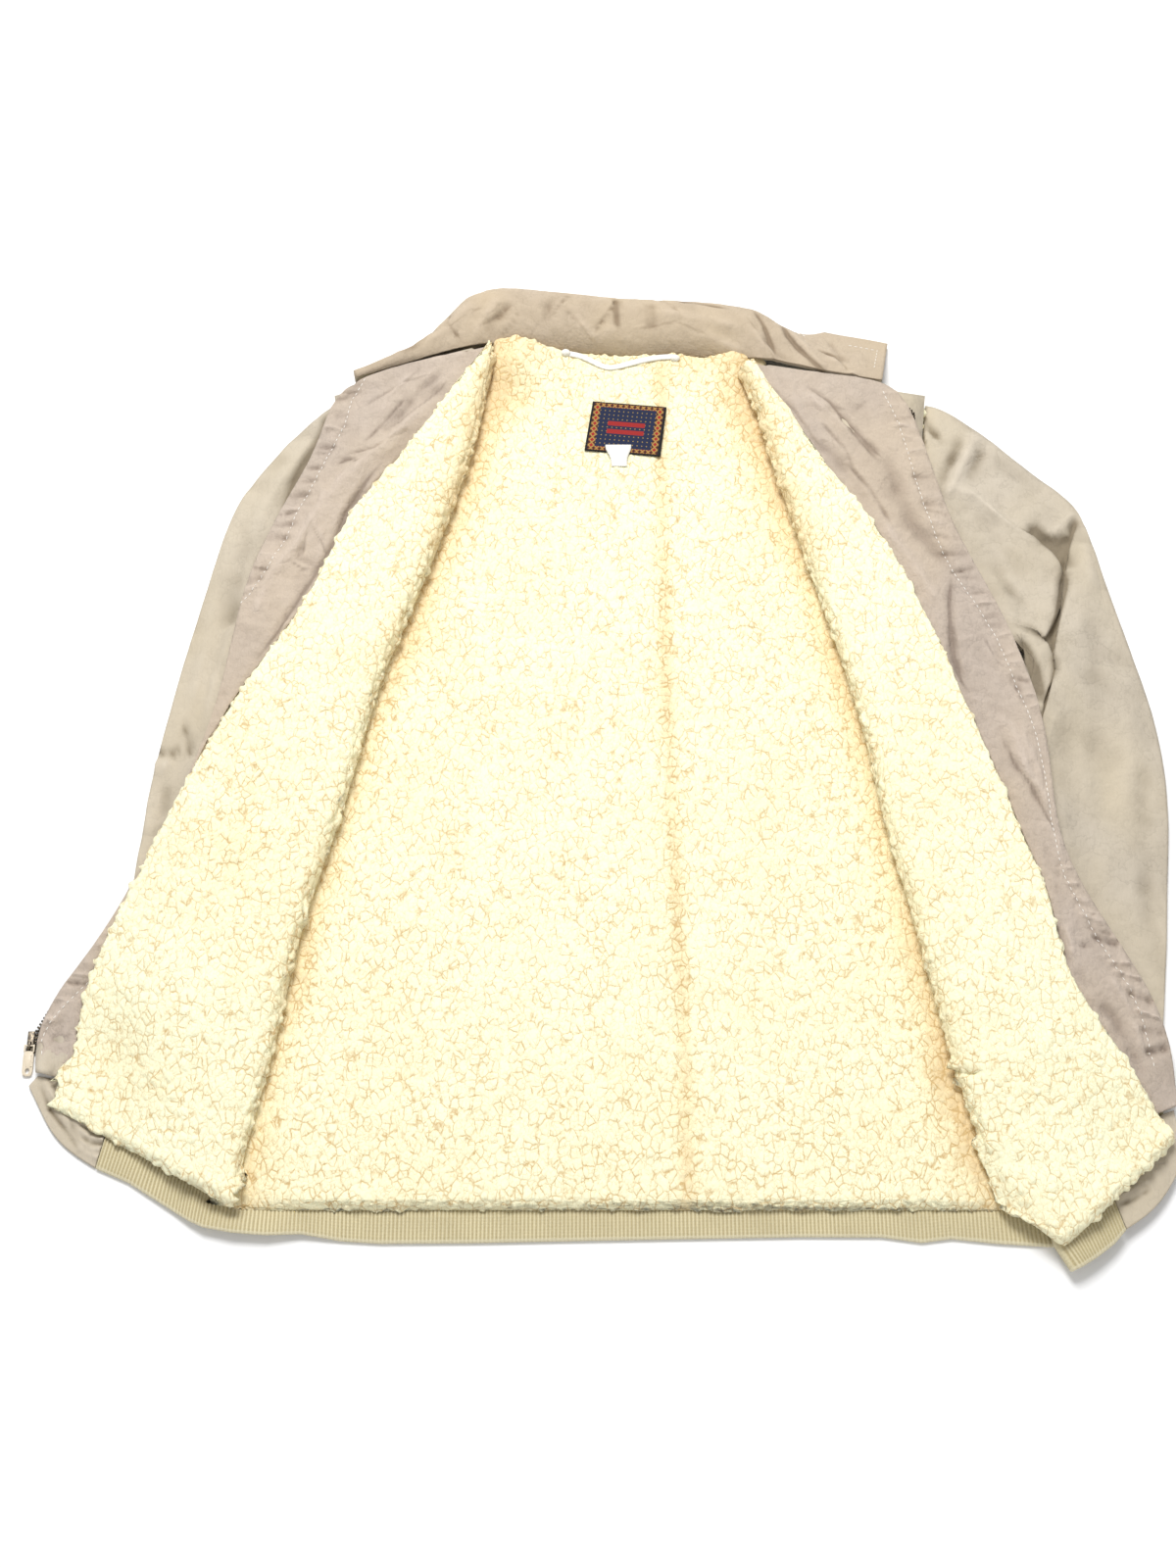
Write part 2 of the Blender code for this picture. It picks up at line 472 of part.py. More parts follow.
def between(name, first, second, slot, side=1.0):
    rows = len(first)
    cols = len(first[0])
    verts = []
    for face in (first, second):
        for line in face:
            for point in line:
                verts.append(Vector((side * point.x, point.y, point.z)))
    faces = []
    half = rows * cols

    def at(layer, j, i):
        return layer * half + j * cols + i

    for j in range(rows - 1):
        for i in range(cols - 1):
            for layer in (0, 1):
                faces.append((at(layer, j, i), at(layer, j, i + 1), at(layer, j + 1, i + 1),
                              at(layer, j + 1, i)))
    for j in range(rows - 1):
        for i in (0, cols - 1):
            faces.append((at(0, j, i), at(0, j + 1, i), at(1, j + 1, i), at(1, j, i)))
    for i in range(cols - 1):
        for j in (0, rows - 1):
            faces.append((at(0, j, i), at(0, j, i + 1), at(1, j, i + 1), at(1, j, i)))
    return add_object(name, verts, faces, slot)


def ground_height(word, x, y, across):
    best = 0.0
    for px, py, pz in sleeve_tops[word]:
        if pz > best and abs(px - x) < across and abs(py - y) < REACH_ALONG:
            best = pz
    return best


def lay_on_ground(word, section, place):
    # lifts an upper leaf clear of the body's lower leaf and of the sleeve below it
    for i in range(UPPER_START + 1, len(section)):
        point = section[i]
        room = HALF_GAP + SHELL + GAP
        if i > PILE_COLUMN:
            room += TAPE + ZIP_SPACE
        across = REACH_ACROSS if i < PILE_COLUMN else REACH_AT_EDGE
        ground = ground_height(word, point.x, point.y, across)
        if point.x < place["seam_x"] + BODY_REACH:
            ground = max(ground, BODY_TOP)
        point.z = max(point.z, ground + room + LEAF_SPACE)


def front_section(place, height):
    # one line across a front: out of the seam, round the fold and back over itself to the edge
    low = height["low"] / 1000.0
    radius = height["gap"] / 2000.0
    rise = height["rise"] / 1000.0
    mid = height["mid"] / 1000.0
    out = height["out"] / 1000.0
    rim = height["rim"] / 1000.0
    centre_x = place["fold_x"] + PILE + radius
    points = []
    for step in range(LOWER_PARTS):
        t = step / LOWER_PARTS
        points.append(Vector((blend(place["seam_x"], centre_x, t),
                              blend(place["seam_y"], place["fold_y"], t), low)))
    for step in range(NOSE_PARTS + 1):
        turn = -math.pi / 2.0 + math.pi * step / NOSE_PARTS
        points.append(Vector((centre_x - radius * math.cos(turn), place["fold_y"],
                              low + radius + radius * math.sin(turn))))
    heights = list(zip(UPPER_BREAKS, (low + 2.0 * radius, rise, mid, out)))
    for step in range(1, UPPER_PARTS + 1):
        t = step / UPPER_PARTS
        k = max(n for n in range(len(heights) - 1) if heights[n][0] < t)
        span = (t - heights[k][0]) / (heights[k + 1][0] - heights[k][0])
        z = blend(heights[k][1], heights[k + 1][1], span)
        points.append(Vector((blend(centre_x, max(place["pile_x"], centre_x + LEAST_UPPER), t),
                              blend(place["fold_y"], place["pile_y"], t), z)))
    start = points[-1]
    for step in range(1, FACING_PARTS + 1):
        t = step / FACING_PARTS
        points.append(Vector((blend(start.x, place["edge_x"], t),
                              blend(start.y, place["edge_y"], t),
                              blend(out, rim, t * t if out - rim > STEEP_DROP else t))))
    return points


def front_grid(word, table, heights):
    grid = []
    for row, tall in zip(table, heights):
        place = row_of(FRONT_COLUMNS, row)
        section = front_section(place, row_of(HEIGHT_COLUMNS, tall))
        lay_on_ground(word, section, place)
        grid.append(section)
    return grid


def hanging_row(line, end):
    # only the upper leaf hangs over the hem seam; the fold's lower half stops at it
    row = []
    fold = Vector((end["fold"][0] + PILE, end["fold"][1], 0.0))
    pile = Vector((end["pile"][0], end["pile"][1], 0.0))
    start = line[UPPER_START]
    for i in range(PILE_COLUMN + 1):
        point = line[i]
        if i <= FOLD_START + NOSE_PARTS // 2:
            row.append(Vector((point.x, point.y - HEM_DROP, point.z)))
        elif i < UPPER_START:
            share = (i - FOLD_START - NOSE_PARTS // 2) / (NOSE_PARTS / 2.0)
            target = Vector((fold.x - NOSE_TUCK * (1.0 - share), fold.y,
                             start.z + end["raise"] / 1000.0))
            row.append(blend_points(point, target, share * NOSE_FOLLOW))
        else:
            share = (i - UPPER_START) / UPPER_PARTS
            spot = fold.lerp(pile, share)
            row.append(Vector((spot.x, spot.y, point.z + end["raise"] / 1000.0)))
    return row


def pile_columns(height):
    under = height["under"] / 1000.0
    thick = [under] * (LOWER_PARTS + 1)
    for step in range(1, NOSE_PARTS + 1):
        thick.append(blend(under, PILE, soft_step(step / (NOSE_PARTS * NOSE_SWELL))))
    thick += [PILE] * UPPER_PARTS
    return thick


def build_front(word, table, heights, end, side):
    grid = front_grid(word, table, heights)
    normals = grid_normals(grid)
    lining_grid = [line[:PILE_COLUMN + 1] for line in grid]
    lining_grid.append(hanging_row(grid[-1], end))
    lining_normals = [line[:PILE_COLUMN + 1] for line in normals]
    lining_normals.append([(Vector((0.0, 0.0, 1.0)) + n * END_LEAN).normalized()
                           if i >= UPPER_START else n for i, n in enumerate(lining_normals[-1])])
    thick = [pile_columns(row_of(HEIGHT_COLUMNS, line)) for line in heights]
    thick.append(pile_columns(row_of(HEIGHT_COLUMNS, heights[-1])))
    near = [[HALF_GAP] * (PILE_COLUMN + 1) for _ in thick]
    sheet("front_shell_" + word, grid, [-HALF_GAP] * (EDGE_COLUMN + 1),
          [-HALF_GAP - SHELL] * (EDGE_COLUMN + 1), "shell", side, normals)
    sheet("front_lining_" + word, lining_grid, near, thick, "pile", side, lining_normals)
    facing_grid = []
    for line in grid:
        part = [point.copy() for point in line[PILE_COLUMN:]]
        toward = (part[1] - part[0]).normalized()
        part[0] = part[0] + toward * (FACING_GAP + STEEP_GAP * abs(toward.z))
        facing_grid.append(part)
    facing_normals = [line[PILE_COLUMN:] for line in normals]
    count = len(facing_grid[0])
    sheet("facing_" + word, facing_grid, [FACING_STEP] * count, [FACING_STEP + FACING] * count,
          "facing", side, facing_normals)
    return grid


def back_from_edge(line, distance):
    # where the point this far back from the edge lies: its column and its share of the way inward
    k = EDGE_COLUMN
    while k > PILE_COLUMN + 1:
        span = (line[k] - line[k - 1]).length
        if distance <= span:
            return k, distance / span
        distance -= span
        k -= 1
    span = (line[k] - line[k - 1]).length
    return k, min(1.0, distance / span)


def build_zip_tape(word, grid, side, looks_out):
    # the zip's tape is sewn to the shell's face just inside the edge; at some places it looks out
    normals = grid_normals(grid)
    start = SHELL + HALF_GAP + TAPE_STEP
    faces = []
    for depth in (start, start + TAPE):
        lowered = offset_grid(grid, normals, [-depth] * len(grid[0]))
        rows = []
        for j in range(len(grid) - 1):
            row = []
            for back in (*TAPE_LINES, looks_out.get(j, TAPE_INSET)):
                k, share = back_from_edge(grid[j], back)
                row.append(lowered[j][k].lerp(lowered[j][k - 1], share))
            rows.append(row)
        faces.append(rows)
    return between("zip_tape_" + word, faces[0], faces[1], "zip_tape", side)


def neckline_y(x):
    for (x0, y0), (x1, y1) in zip(NECKLINE, NECKLINE[1:]):
        if x <= x1:
            return blend(y0, y1, (x - x0) / (x1 - x0))
    return NECKLINE[-1][1]


def back_rows(overhang):
    rows = []
    for j in BACK_SECTIONS:
        right = row_of(FRONT_COLUMNS, RIGHT_FRONT[j])
        left = row_of(FRONT_COLUMNS, LEFT_FRONT[j])
        edge = right["seam_x"]
        y = right["seam_y"] if j < len(RIGHT_FRONT) - 1 else HEM_Y
        in_r = -right["fold_x"]
        in_l = left["fold_x"]
        start = in_r + BACK_INSET
        stop = in_l - BACK_INSET
        first, third = BACK_QUARTERS
        xs = [-edge, blend(-edge, in_r, BACK_MIDDLE), in_r, start, blend(start, stop, first),
              blend(in_r, in_l, BACK_MIDDLE), blend(start, stop, third), stop, in_l,
              blend(edge, in_l, BACK_MIDDLE), edge]
        if j == 0:
            rows.append([Vector((x, neckline_y(x), 0.0)) for x in xs])
        else:
            rows.append([Vector((x, y, 0.0)) for x in xs])
    if overhang > 0.0:
        rows.append([Vector((p.x, p.y - overhang, 0.0)) for p in rows[-1]])
    return rows


def build_back():
    shell_rows = back_rows(0.0)
    cols = len(shell_rows[0])
    sheet("back_shell", shell_rows, [0.0] * cols, [SHELL] * cols, "shell")
    pile_rows = back_rows(OVERHANG)
    base = SHELL + GAP
    pressed = [PILE_PRESSED] * (len(pile_rows) - len(PILE_AT_HEM)) + list(PILE_AT_HEM)
    near = [[base] * cols for _ in pile_rows]
    far = []
    for low in pressed:
        tall = [low] * PRESSED_COLUMNS + [PILE] * OPEN_COLUMNS + [low] * PRESSED_COLUMNS
        far.append([base + t for t in tall])
    sheet("back_lining", pile_rows, near, far, "pile")


def sleeve_ring(row, armhole_share, wall):
    # one ring of a flattened tube, outer and inner face; the inner edge climbs on to the body
    place = row_of(SLEEVE_COLUMNS, row)
    bottom = []
    inner_bottom = []
    inner_top = []
    top = []
    for step in range(ACROSS):
        s = step / (ACROSS - 1)
        straight = (blend(place["out_x"], place["in_x"], s), blend(place["out_y"], place["in_y"], s))
        along = s * (len(ARMHOLE) - 1)
        k = min(int(along), len(ARMHOLE) - 2)
        curved = (blend(ARMHOLE[k][0], ARMHOLE[k + 1][0], along - k),
                  blend(ARMHOLE[k][1], ARMHOLE[k + 1][1], along - k))
        x = blend(straight[0], curved[0], armhole_share)
        y = blend(straight[1], curved[1], armhole_share)
        climb = soft_step((s - place["lift"] + CLIMB_EARLY) / CLIMB_SPAN)
        base = SLEEVE_BASE + place["in_z"] / 1000.0 * climb
        round_off = math.sqrt(max(0.0, 1.0 - (2.0 * s - 1.0) ** 4)) * (1.0 - CLIMB_FLATTEN * climb)
        tall = blend(2.0 * wall + SLEEVE_SLIT, place["tall"] / 1000.0, round_off)
        bottom.append(Vector((x, y, base)))
        inner_bottom.append(Vector((x, y, base + wall)))
        inner_top.append(Vector((x, y, base + tall - wall)))
        top.append(Vector((x, y, base + tall)))
    outward = Vector((bottom[0].x - bottom[1].x, bottom[0].y - bottom[1].y, 0.0)).normalized()
    inward = Vector((bottom[-1].x - bottom[-2].x, bottom[-1].y - bottom[-2].y, 0.0)).normalized()
    for line in (inner_bottom, inner_top):
        line[0] = line[0] - outward * EDGE_TUCK
        line[-1] = line[-1] - inward * EDGE_TUCK
    outer = bottom + list(reversed(top))
    inner = inner_bottom + list(reversed(inner_top))
    return outer, inner


def tube(name, rings, slot, side):
    verts = []
    count = len(rings[0][0])
    for outer, inner in rings:
        verts += outer
        verts += inner
    verts = [Vector((side * v.x, v.y, v.z)) for v in verts]
    faces = []
    for j in range(len(rings) - 1):
        here = j * 2 * count
        there = here + 2 * count
        for i in range(count):
            k = (i + 1) % count
            faces.append((here + i, here + k, there + k, there + i))
            faces.append((here + count + i, here + count + k, there + count + k, there + count + i))
    for j in (0, len(rings) - 1):
        here = j * 2 * count
        for i in range(count):
            k = (i + 1) % count
            faces.append((here + i, here + k, here + count + k, here + count + i))
    return add_object(name, verts, faces, slot)


def note_tops(word, rings):
    # the sleeve's upper face, sampled closely, for the fronts that lie on it
    lines = [ring[0][ACROSS:] for ring in rings]
    for first, second in zip(lines, lines[1:]):
        for step in range(TOP_STEPS_ALONG):
            line = [a.lerp(b, step / TOP_STEPS_ALONG) for a, b in zip(first, second)]
            for a, b in zip(line, line[1:]):
                for part in range(TOP_STEPS_ACROSS):
                    spot = a.lerp(b, part / TOP_STEPS_ACROSS)
                    sleeve_tops[word].append((spot.x, spot.y, spot.z))


def build_sleeve(word, table, side):
    rings = []
    for j, row in enumerate(table):
        share = ARMHOLE_SHARES[j] if j < len(ARMHOLE_SHARES) else 0.0
        rings.append(sleeve_ring(row, share, SLEEVE_WALL))
    note_tops(word, rings)
    tube("sleeve_" + word, rings, "shell", side)
    last = row_of(SLEEVE_COLUMNS, table[-1])
    before = row_of(SLEEVE_COLUMNS, table[-2])
    way = Vector((last["out_x"] + last["in_x"] - before["out_x"] - before["in_x"],
                  last["out_y"] + last["in_y"] - before["out_y"] - before["in_y"], 0.0)).normalized()
    cuff = []
    for step in CUFF_STEPS:
        moved = dict(last)
        draw_in = CUFF_DRAW_IN if step > GAP else 0.0
        moved["out_x"] = last["out_x"] + way.x * step - draw_in
        moved["out_y"] = last["out_y"] + way.y * step
        moved["in_x"] = last["in_x"] + way.x * step + draw_in
        moved["in_y"] = last["in_y"] + way.y * step
        row = tuple(moved[name] for name in SLEEVE_COLUMNS)
        cuff.append(sleeve_ring(row, 0.0, CUFF_WALL))
    note_tops(word, cuff)
    tube("cuff_" + word, cuff, "rib", side)


def collar_section(row):
    # the collar rolls over at the back neck; towards the wearer's left its end opens out flat
    place = row_of(COLLAR_COLUMNS, row)
    seam = Vector((place["seam_x"], place["seam_y"] + COLLAR_SHIFT, place["seam_z"] / 1000.0))
    roll = Vector((place["roll_x"], place["roll_y"], 0.0))
    top = place["top"] / 1000.0
    low = place["low"] / 1000.0
    starts = {"seam": seam.z, "low": low}
    rolled = [seam]
    for t, start, rise in ROLL_POINTS:
        rolled.append(Vector((blend(seam.x, roll.x, t), blend(seam.y, roll.y, t),
                              blend(starts[start], top, rise))))
    flat = [seam]
    for step in range(1, len(ROLL_POINTS) + 1):
        t = step / len(ROLL_POINTS)
        z = blend(seam.z, low, soft_step(t * FLAT_EARLY)) + FLAT_HUMP * math.sin(t * math.pi)
        flat.append(Vector((blend(seam.x, roll.x, t), blend(seam.y, roll.y, t), z)))
    return [blend_points(a, b, place["open"]) for a, b in zip(rolled, flat)]


def build_collar():
    grid = [collar_section(row) for row in COLLAR_ROWS]
    cols = len(grid[0])
    near = COLLAR_HALF_GAP
    far = COLLAR_HALF_GAP + COLLAR_PLY
    sheet("collar_upper", grid, [near] * cols, [far] * cols, "shell")
    sheet("collar_under", grid, [-near] * cols, [-far] * cols, "shell")


def band_grid(rows, shares):
    lift_start = shares[1]
    grid = []
    for row in rows:
        place = row_of(RIB_COLUMNS, row)
        line = []
        for t in shares:
            z = (place["base"] + place["lift"] * soft_step((t - lift_start) / (1.0 - lift_start))) / 1000.0
            line.append(Vector((blend(place["top_x"], place["free_x"], t),
                                blend(place["top_y"], place["free_y"], t), z)))
        grid.append(line)
    return grid


def raised_sheet(name, grid, walls, slot):
    # a sheet that stands on the grid; its first section lies face up
    up = math.copysign(1.0, grid_normals(grid)[1][1].z)
    sheet(name, grid, [0.0] * len(walls), [up * wall for wall in walls], slot)


def build_hem():
    raised_sheet("rib_hem", band_grid(RIB_ROWS, RIB_SHARES), RIB_WALLS, "rib")
    raised_sheet("hem_tab_right", band_grid(RIGHT_TAB, TAB_SHARES), TAB_WALLS, "shell")
    raised_sheet("hem_tab_left", band_grid(LEFT_TAB, TAB_SHARES), TAB_WALLS, "shell")


def build_loop():
    base = SHELL + GAP + PILE + GAP
    grid = []
    points = [Vector((x, y, base)) for x, y in LOOP_POINTS]
    for k, point in enumerate(points):
        way = (points[min(k + 1, len(points) - 1)] - points[max(k - 1, 0)]).normalized()
        across = Vector((-way.y, way.x, 0.0)) * (LOOP_WIDE / 2.0)
        grid.append([point - across, point + across])
    raised_sheet("hanger_loop", grid, (LOOP_PLY, LOOP_PLY), "tape")


def build_label():
    base = SHELL + GAP + PILE + GAP
    corners = [Vector((x, y, base)) for x, y in LABEL_CORNERS]
    grid = []
    for j in range(LABEL_LINES + 1):
        t = j / LABEL_LINES
        start = corners[0].lerp(corners[3], t)
        end = corners[1].lerp(corners[2], t)
        grid.append([start.lerp(end, i / LABEL_PARTS) for i in range(LABEL_PARTS + 1)])
    raised_sheet("label", grid, [LABEL_PLY] * (LABEL_PARTS + 1), "label")


def build_size_tag():
    grid = []
    for row in TAG_ROWS:
        place = row_of(TAG_COLUMNS, row)
        height = place["height"] / 1000.0
        grid.append([Vector((place["x"] - place["half"], place["y"], height)),
                     Vector((place["x"] + place["half"], place["y"], height))])
    raised_sheet("size_tag", grid, (TAPE, TAPE), "tape")


def box(name, low, high, slot):
    (x0, y0, z0), (x1, y1, z1) = low, high
    verts = [Vector(p) for p in ((x0, y0, z0), (x1, y0, z0), (x1, y1, z0), (x0, y1, z0),
                                 (x0, y0, z1), (x1, y0, z1), (x1, y1, z1), (x0, y1, z1))]
    faces = [(0, 3, 2, 1), (4, 5, 6, 7), (0, 1, 5, 4), (1, 2, 6, 5), (2, 3, 7, 6), (3, 0, 4, 7)]
    return add_object(name, verts, faces, slot, smooth=False)


def union(name, pieces, slot):
    # one closed body out of several convex shapes that run into each other
    base = pieces[0]
    for other in pieces[1:]:
        joiner = base.modifiers.new("join", "BOOLEAN")
        joiner.operation = "UNION"
        joiner.solver = "EXACT"
        joiner.object = other
        bpy.context.view_layer.update()
        graph = bpy.context.evaluated_depsgraph_get()
        mesh = bpy.data.meshes.new_from_object(base.evaluated_get(graph))
        base.modifiers.clear()
        base.data = mesh
        bpy.data.objects.remove(other, do_unlink=True)
    base.name = name
    base.data.name = name
    base.data.materials.clear()
    base.data.materials.append(material_for(slot))
    return base


def bar_along_x(name, x0, x1, radius, count, slot):
    turns = [2.0 * math.pi * k / count for k in range(count)]
    ring = [(radius * math.cos(turn), radius * math.sin(turn)) for turn in turns]
    verts = [Vector((x0, y, z)) for y, z in ring] + [Vector((x1, y, z)) for y, z in ring]
    faces = [tuple(range(count)), tuple(range(count, 2 * count))]
    faces += [(k, (k + 1) % count, count + (k + 1) % count, count + k) for k in range(count)]
    return add_object(name, verts, faces, slot, smooth=False)


def plate(name, outline, hole, z0, z1, slot):
    # a flat plate with one hole; outline and hole have the same number of points
    count = len(outline)
    verts = []
    for z in (z0, z1):
        verts += [Vector((x, y, z)) for x, y in outline]
        verts += [Vector((x, y, z)) for x, y in hole]
    faces = []
    for k in range(count):
        m = (k + 1) % count
        faces.append((k, m, count + m, count + k))
        faces.append((2 * count + k, 2 * count + m, 3 * count + m, 3 * count + k))
        faces.append((k, m, 2 * count + m, 2 * count + k))
        faces.append((count + k, count + m, 3 * count + m, 3 * count + k))
    return add_object(name, verts, faces, slot, smooth=False)


def build_slider():
    # the slider sits on the tape's end; its bridge holds the pull tab's bar
    x, y = PULL_AXIS[:2]
    half = SLIDER["half"]
    post = BRIDGE["half"]
    pieces = [
        box("slider_body", (x - half, y + SLIDER["near"], SLIDER["base"]),
            (x + half, y + SLIDER["far"], SLIDER["top"]), "zip_metal"),
        box("slider_front", (x - post, y + BRIDGE["near"], BRIDGE["foot"]),
            (x + post, y + BRIDGE["front"], BRIDGE["post_top"]), "zip_metal"),
        box("slider_rear", (x - post, y + BRIDGE["rear"], BRIDGE["foot"]),
            (x + post, y + BRIDGE["far"], BRIDGE["post_top"]), "zip_metal"),
        box("slider_roof", (x - post, y + BRIDGE["near"], BRIDGE["under"]),
            (x + post, y + BRIDGE["far"], BRIDGE["top"]), "zip_metal"),
    ]
    union("zip_slider", pieces, "zip_metal")


def pull_blade():
    outline = []
    hole = []
    for k in range(TAB["sides"]):
        turn = 2.0 * math.pi * (k + 0.5) / TAB["sides"]
        across = math.copysign(abs(math.cos(turn)) ** TAB["corner"], math.cos(turn))
        along = math.copysign(abs(math.sin(turn)) ** TAB["corner"], math.sin(turn))
        outline.append((TAB["arm_out"] * across, TAB["middle"] + TAB["reach"] * along))
        hole.append((TAB["hole_half"] * math.cos(turn),
                     TAB["hole_y"] + TAB["hole_reach"] * math.sin(turn)))
    return plate("pull_blade", outline, hole, -TAB["half"], TAB["half"], "pull")


def build_pull():
    # a slotted blade on two arms that a thin bar joins; the bar turns in the slider's bridge
    half = TAB["half"]
    pieces = [pull_blade(),
              bar_along_x("pull_bar", -TAB["bar"], TAB["bar"], half, TAB["bar_sides"], "pull")]
    for x0, x1 in ((-TAB["arm_out"], -TAB["arm_in"]), (TAB["arm_in"], TAB["arm_out"])):
        pieces.append(box("pull_arm", (x0, TAB["arm_near"], -half), (x1, TAB["arm_far"], half), "pull"))
    pull = union("zip_pull", pieces, "pull")
    cosine = math.cos(PULL_TILT)
    sine = math.sin(PULL_TILT)
    for vertex in pull.data.vertices:
        co = vertex.co
        vertex.co = Vector((co.x, co.y * cosine - co.z * sine, co.y * sine + co.z * cosine))
    pull.location = PULL_AXIS


def main():
    clear_scene()
    build_back()
    build_sleeve("right", RIGHT_SLEEVE, -1.0)
    build_sleeve("left", LEFT_SLEEVE, 1.0)
    right = build_front("right", RIGHT_FRONT, RIGHT_HEIGHTS, RIGHT_PILE_END, -1.0)
    left = build_front("left", LEFT_FRONT, LEFT_HEIGHTS, LEFT_PILE_END, 1.0)
    build_zip_tape("right", right, -1.0, RIGHT_TAPE_OUT)
    build_zip_tape("left", left, 1.0, LEFT_TAPE_OUT)
    build_collar()
    build_hem()
    build_loop()
    build_label()
    build_size_tag()
    build_slider()
    build_pull()


main()
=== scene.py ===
# Sherpa lined jacket laid open on its back: cloth, pile, ribs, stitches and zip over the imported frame.
import json
import math
import random

import bmesh
import bpy
import numpy as np
from mathutils import Matrix, Vector, noise
from mathutils.bvhtree import BVHTree

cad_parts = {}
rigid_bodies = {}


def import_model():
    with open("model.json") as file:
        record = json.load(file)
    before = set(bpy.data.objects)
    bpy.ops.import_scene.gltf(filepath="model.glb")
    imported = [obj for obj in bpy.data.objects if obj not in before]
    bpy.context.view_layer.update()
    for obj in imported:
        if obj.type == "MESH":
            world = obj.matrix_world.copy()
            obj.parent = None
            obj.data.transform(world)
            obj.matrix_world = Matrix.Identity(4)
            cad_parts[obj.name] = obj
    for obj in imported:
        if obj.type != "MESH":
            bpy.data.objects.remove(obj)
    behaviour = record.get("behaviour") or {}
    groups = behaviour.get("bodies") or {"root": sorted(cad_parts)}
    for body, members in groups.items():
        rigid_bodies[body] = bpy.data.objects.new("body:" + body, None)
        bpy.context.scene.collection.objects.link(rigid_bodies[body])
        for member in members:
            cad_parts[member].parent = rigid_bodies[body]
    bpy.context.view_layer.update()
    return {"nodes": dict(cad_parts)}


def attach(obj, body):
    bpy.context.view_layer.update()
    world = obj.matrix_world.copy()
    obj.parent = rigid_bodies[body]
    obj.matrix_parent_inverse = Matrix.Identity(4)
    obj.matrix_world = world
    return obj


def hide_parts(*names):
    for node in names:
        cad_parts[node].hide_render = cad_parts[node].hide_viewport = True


for item in list(bpy.data.objects):
    bpy.data.objects.remove(item, do_unlink=True)
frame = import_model()
mm = 0.001
print("frame loaded")


# Shader helpers: a node with its input values, a link, and a material with its shader ready.
def addNode(tree, kind, values=None, **settings):
    node = tree.nodes.new("ShaderNode" + kind)
    for key, value in settings.items():
        setattr(node, key, value)
    for key, value in (values or {}).items():
        node.inputs[key].default_value = value
    return node


def startMaterial(name, roughness, sheen=0.0, specular=0.25):
    material = bpy.data.materials.new(name)
    material.use_nodes = True
    tree = material.node_tree
    shader = tree.nodes["Principled BSDF"]
    shader.inputs["Roughness"].default_value = roughness
    shader.inputs["Sheen Weight"].default_value = sheen
    shader.inputs["Specular IOR Level"].default_value = specular
    return material, tree, shader


def objectPlace(tree, scale=(1, 1, 1), turn=0.0):
    place = addNode(tree, "TexCoord")
    mapping = addNode(tree, "Mapping", {"Scale": scale, "Rotation": (0, 0, turn)})
    tree.links.new(place.outputs["Object"], mapping.inputs["Vector"])
    return mapping.outputs["Vector"]


def noiseField(tree, place, size, detail=2.0, rough=0.5):
    field = addNode(tree, "TexNoise", {"Scale": 1.0 / size, "Detail": detail, "Roughness": rough})
    tree.links.new(place, field.inputs["Vector"])
    return field


def spread(tree, source, low, high, toLow=0.0, toHigh=1.0):
    fit = addNode(tree, "MapRange", {"From Min": low, "From Max": high, "To Min": toLow, "To Max": toHigh})
    tree.links.new(source, fit.inputs["Value"])
    return fit.outputs["Result"]


def doMath(tree, operation, first, second=0.0):
    node = addNode(tree, "Math", operation=operation)
    for socket, value in zip(node.inputs, (first, second)):
        if isinstance(value, (int, float)):
            socket.default_value = value
        else:
            tree.links.new(value, socket)
    return node.outputs[0]


def mixColours(tree, factor, first, second, blendType="MIX"):
    node = addNode(tree, "Mix", data_type="RGBA", blend_type=blendType)
    sockets = (node.inputs["Factor"], node.inputs[6], node.inputs[7])
    for socket, value in zip(sockets, (factor, first, second)):
        if isinstance(value, tuple):
            socket.default_value = (*value, 1.0)
        elif isinstance(value, (int, float)):
            socket.default_value = value
        else:
            tree.links.new(value, socket)
    return node.outputs[2]


def bumpShader(tree, shader, height, distance, strength=1.0):
    bump = addNode(tree, "Bump", {"Distance": distance, "Strength": strength})
    tree.links.new(height, bump.inputs["Height"])
    tree.links.new(bump.outputs["Normal"], shader.inputs["Normal"])


# Pile is near white where it is thick. Its colour carries painted shade, warmer in its hollows and beside
# its folds (each point's warm shade), and thin, broken, golden lines of painted shade in the crevices
# between the curls.
pileLook = {
    "bright": (0.955, 0.935, 0.665), "yellow": (0.938, 0.830, 0.530), "shadeOchre": (0.760, 0.580, 0.330),
    "creviceShade": (0.610, 0.430, 0.200), "curl": 5.2 * mm, "long": 0.72, "fine": 2.8 * mm, "wander": 3.2 * mm,
    "patch": 60 * mm, "relief": 1.1 * mm,
}


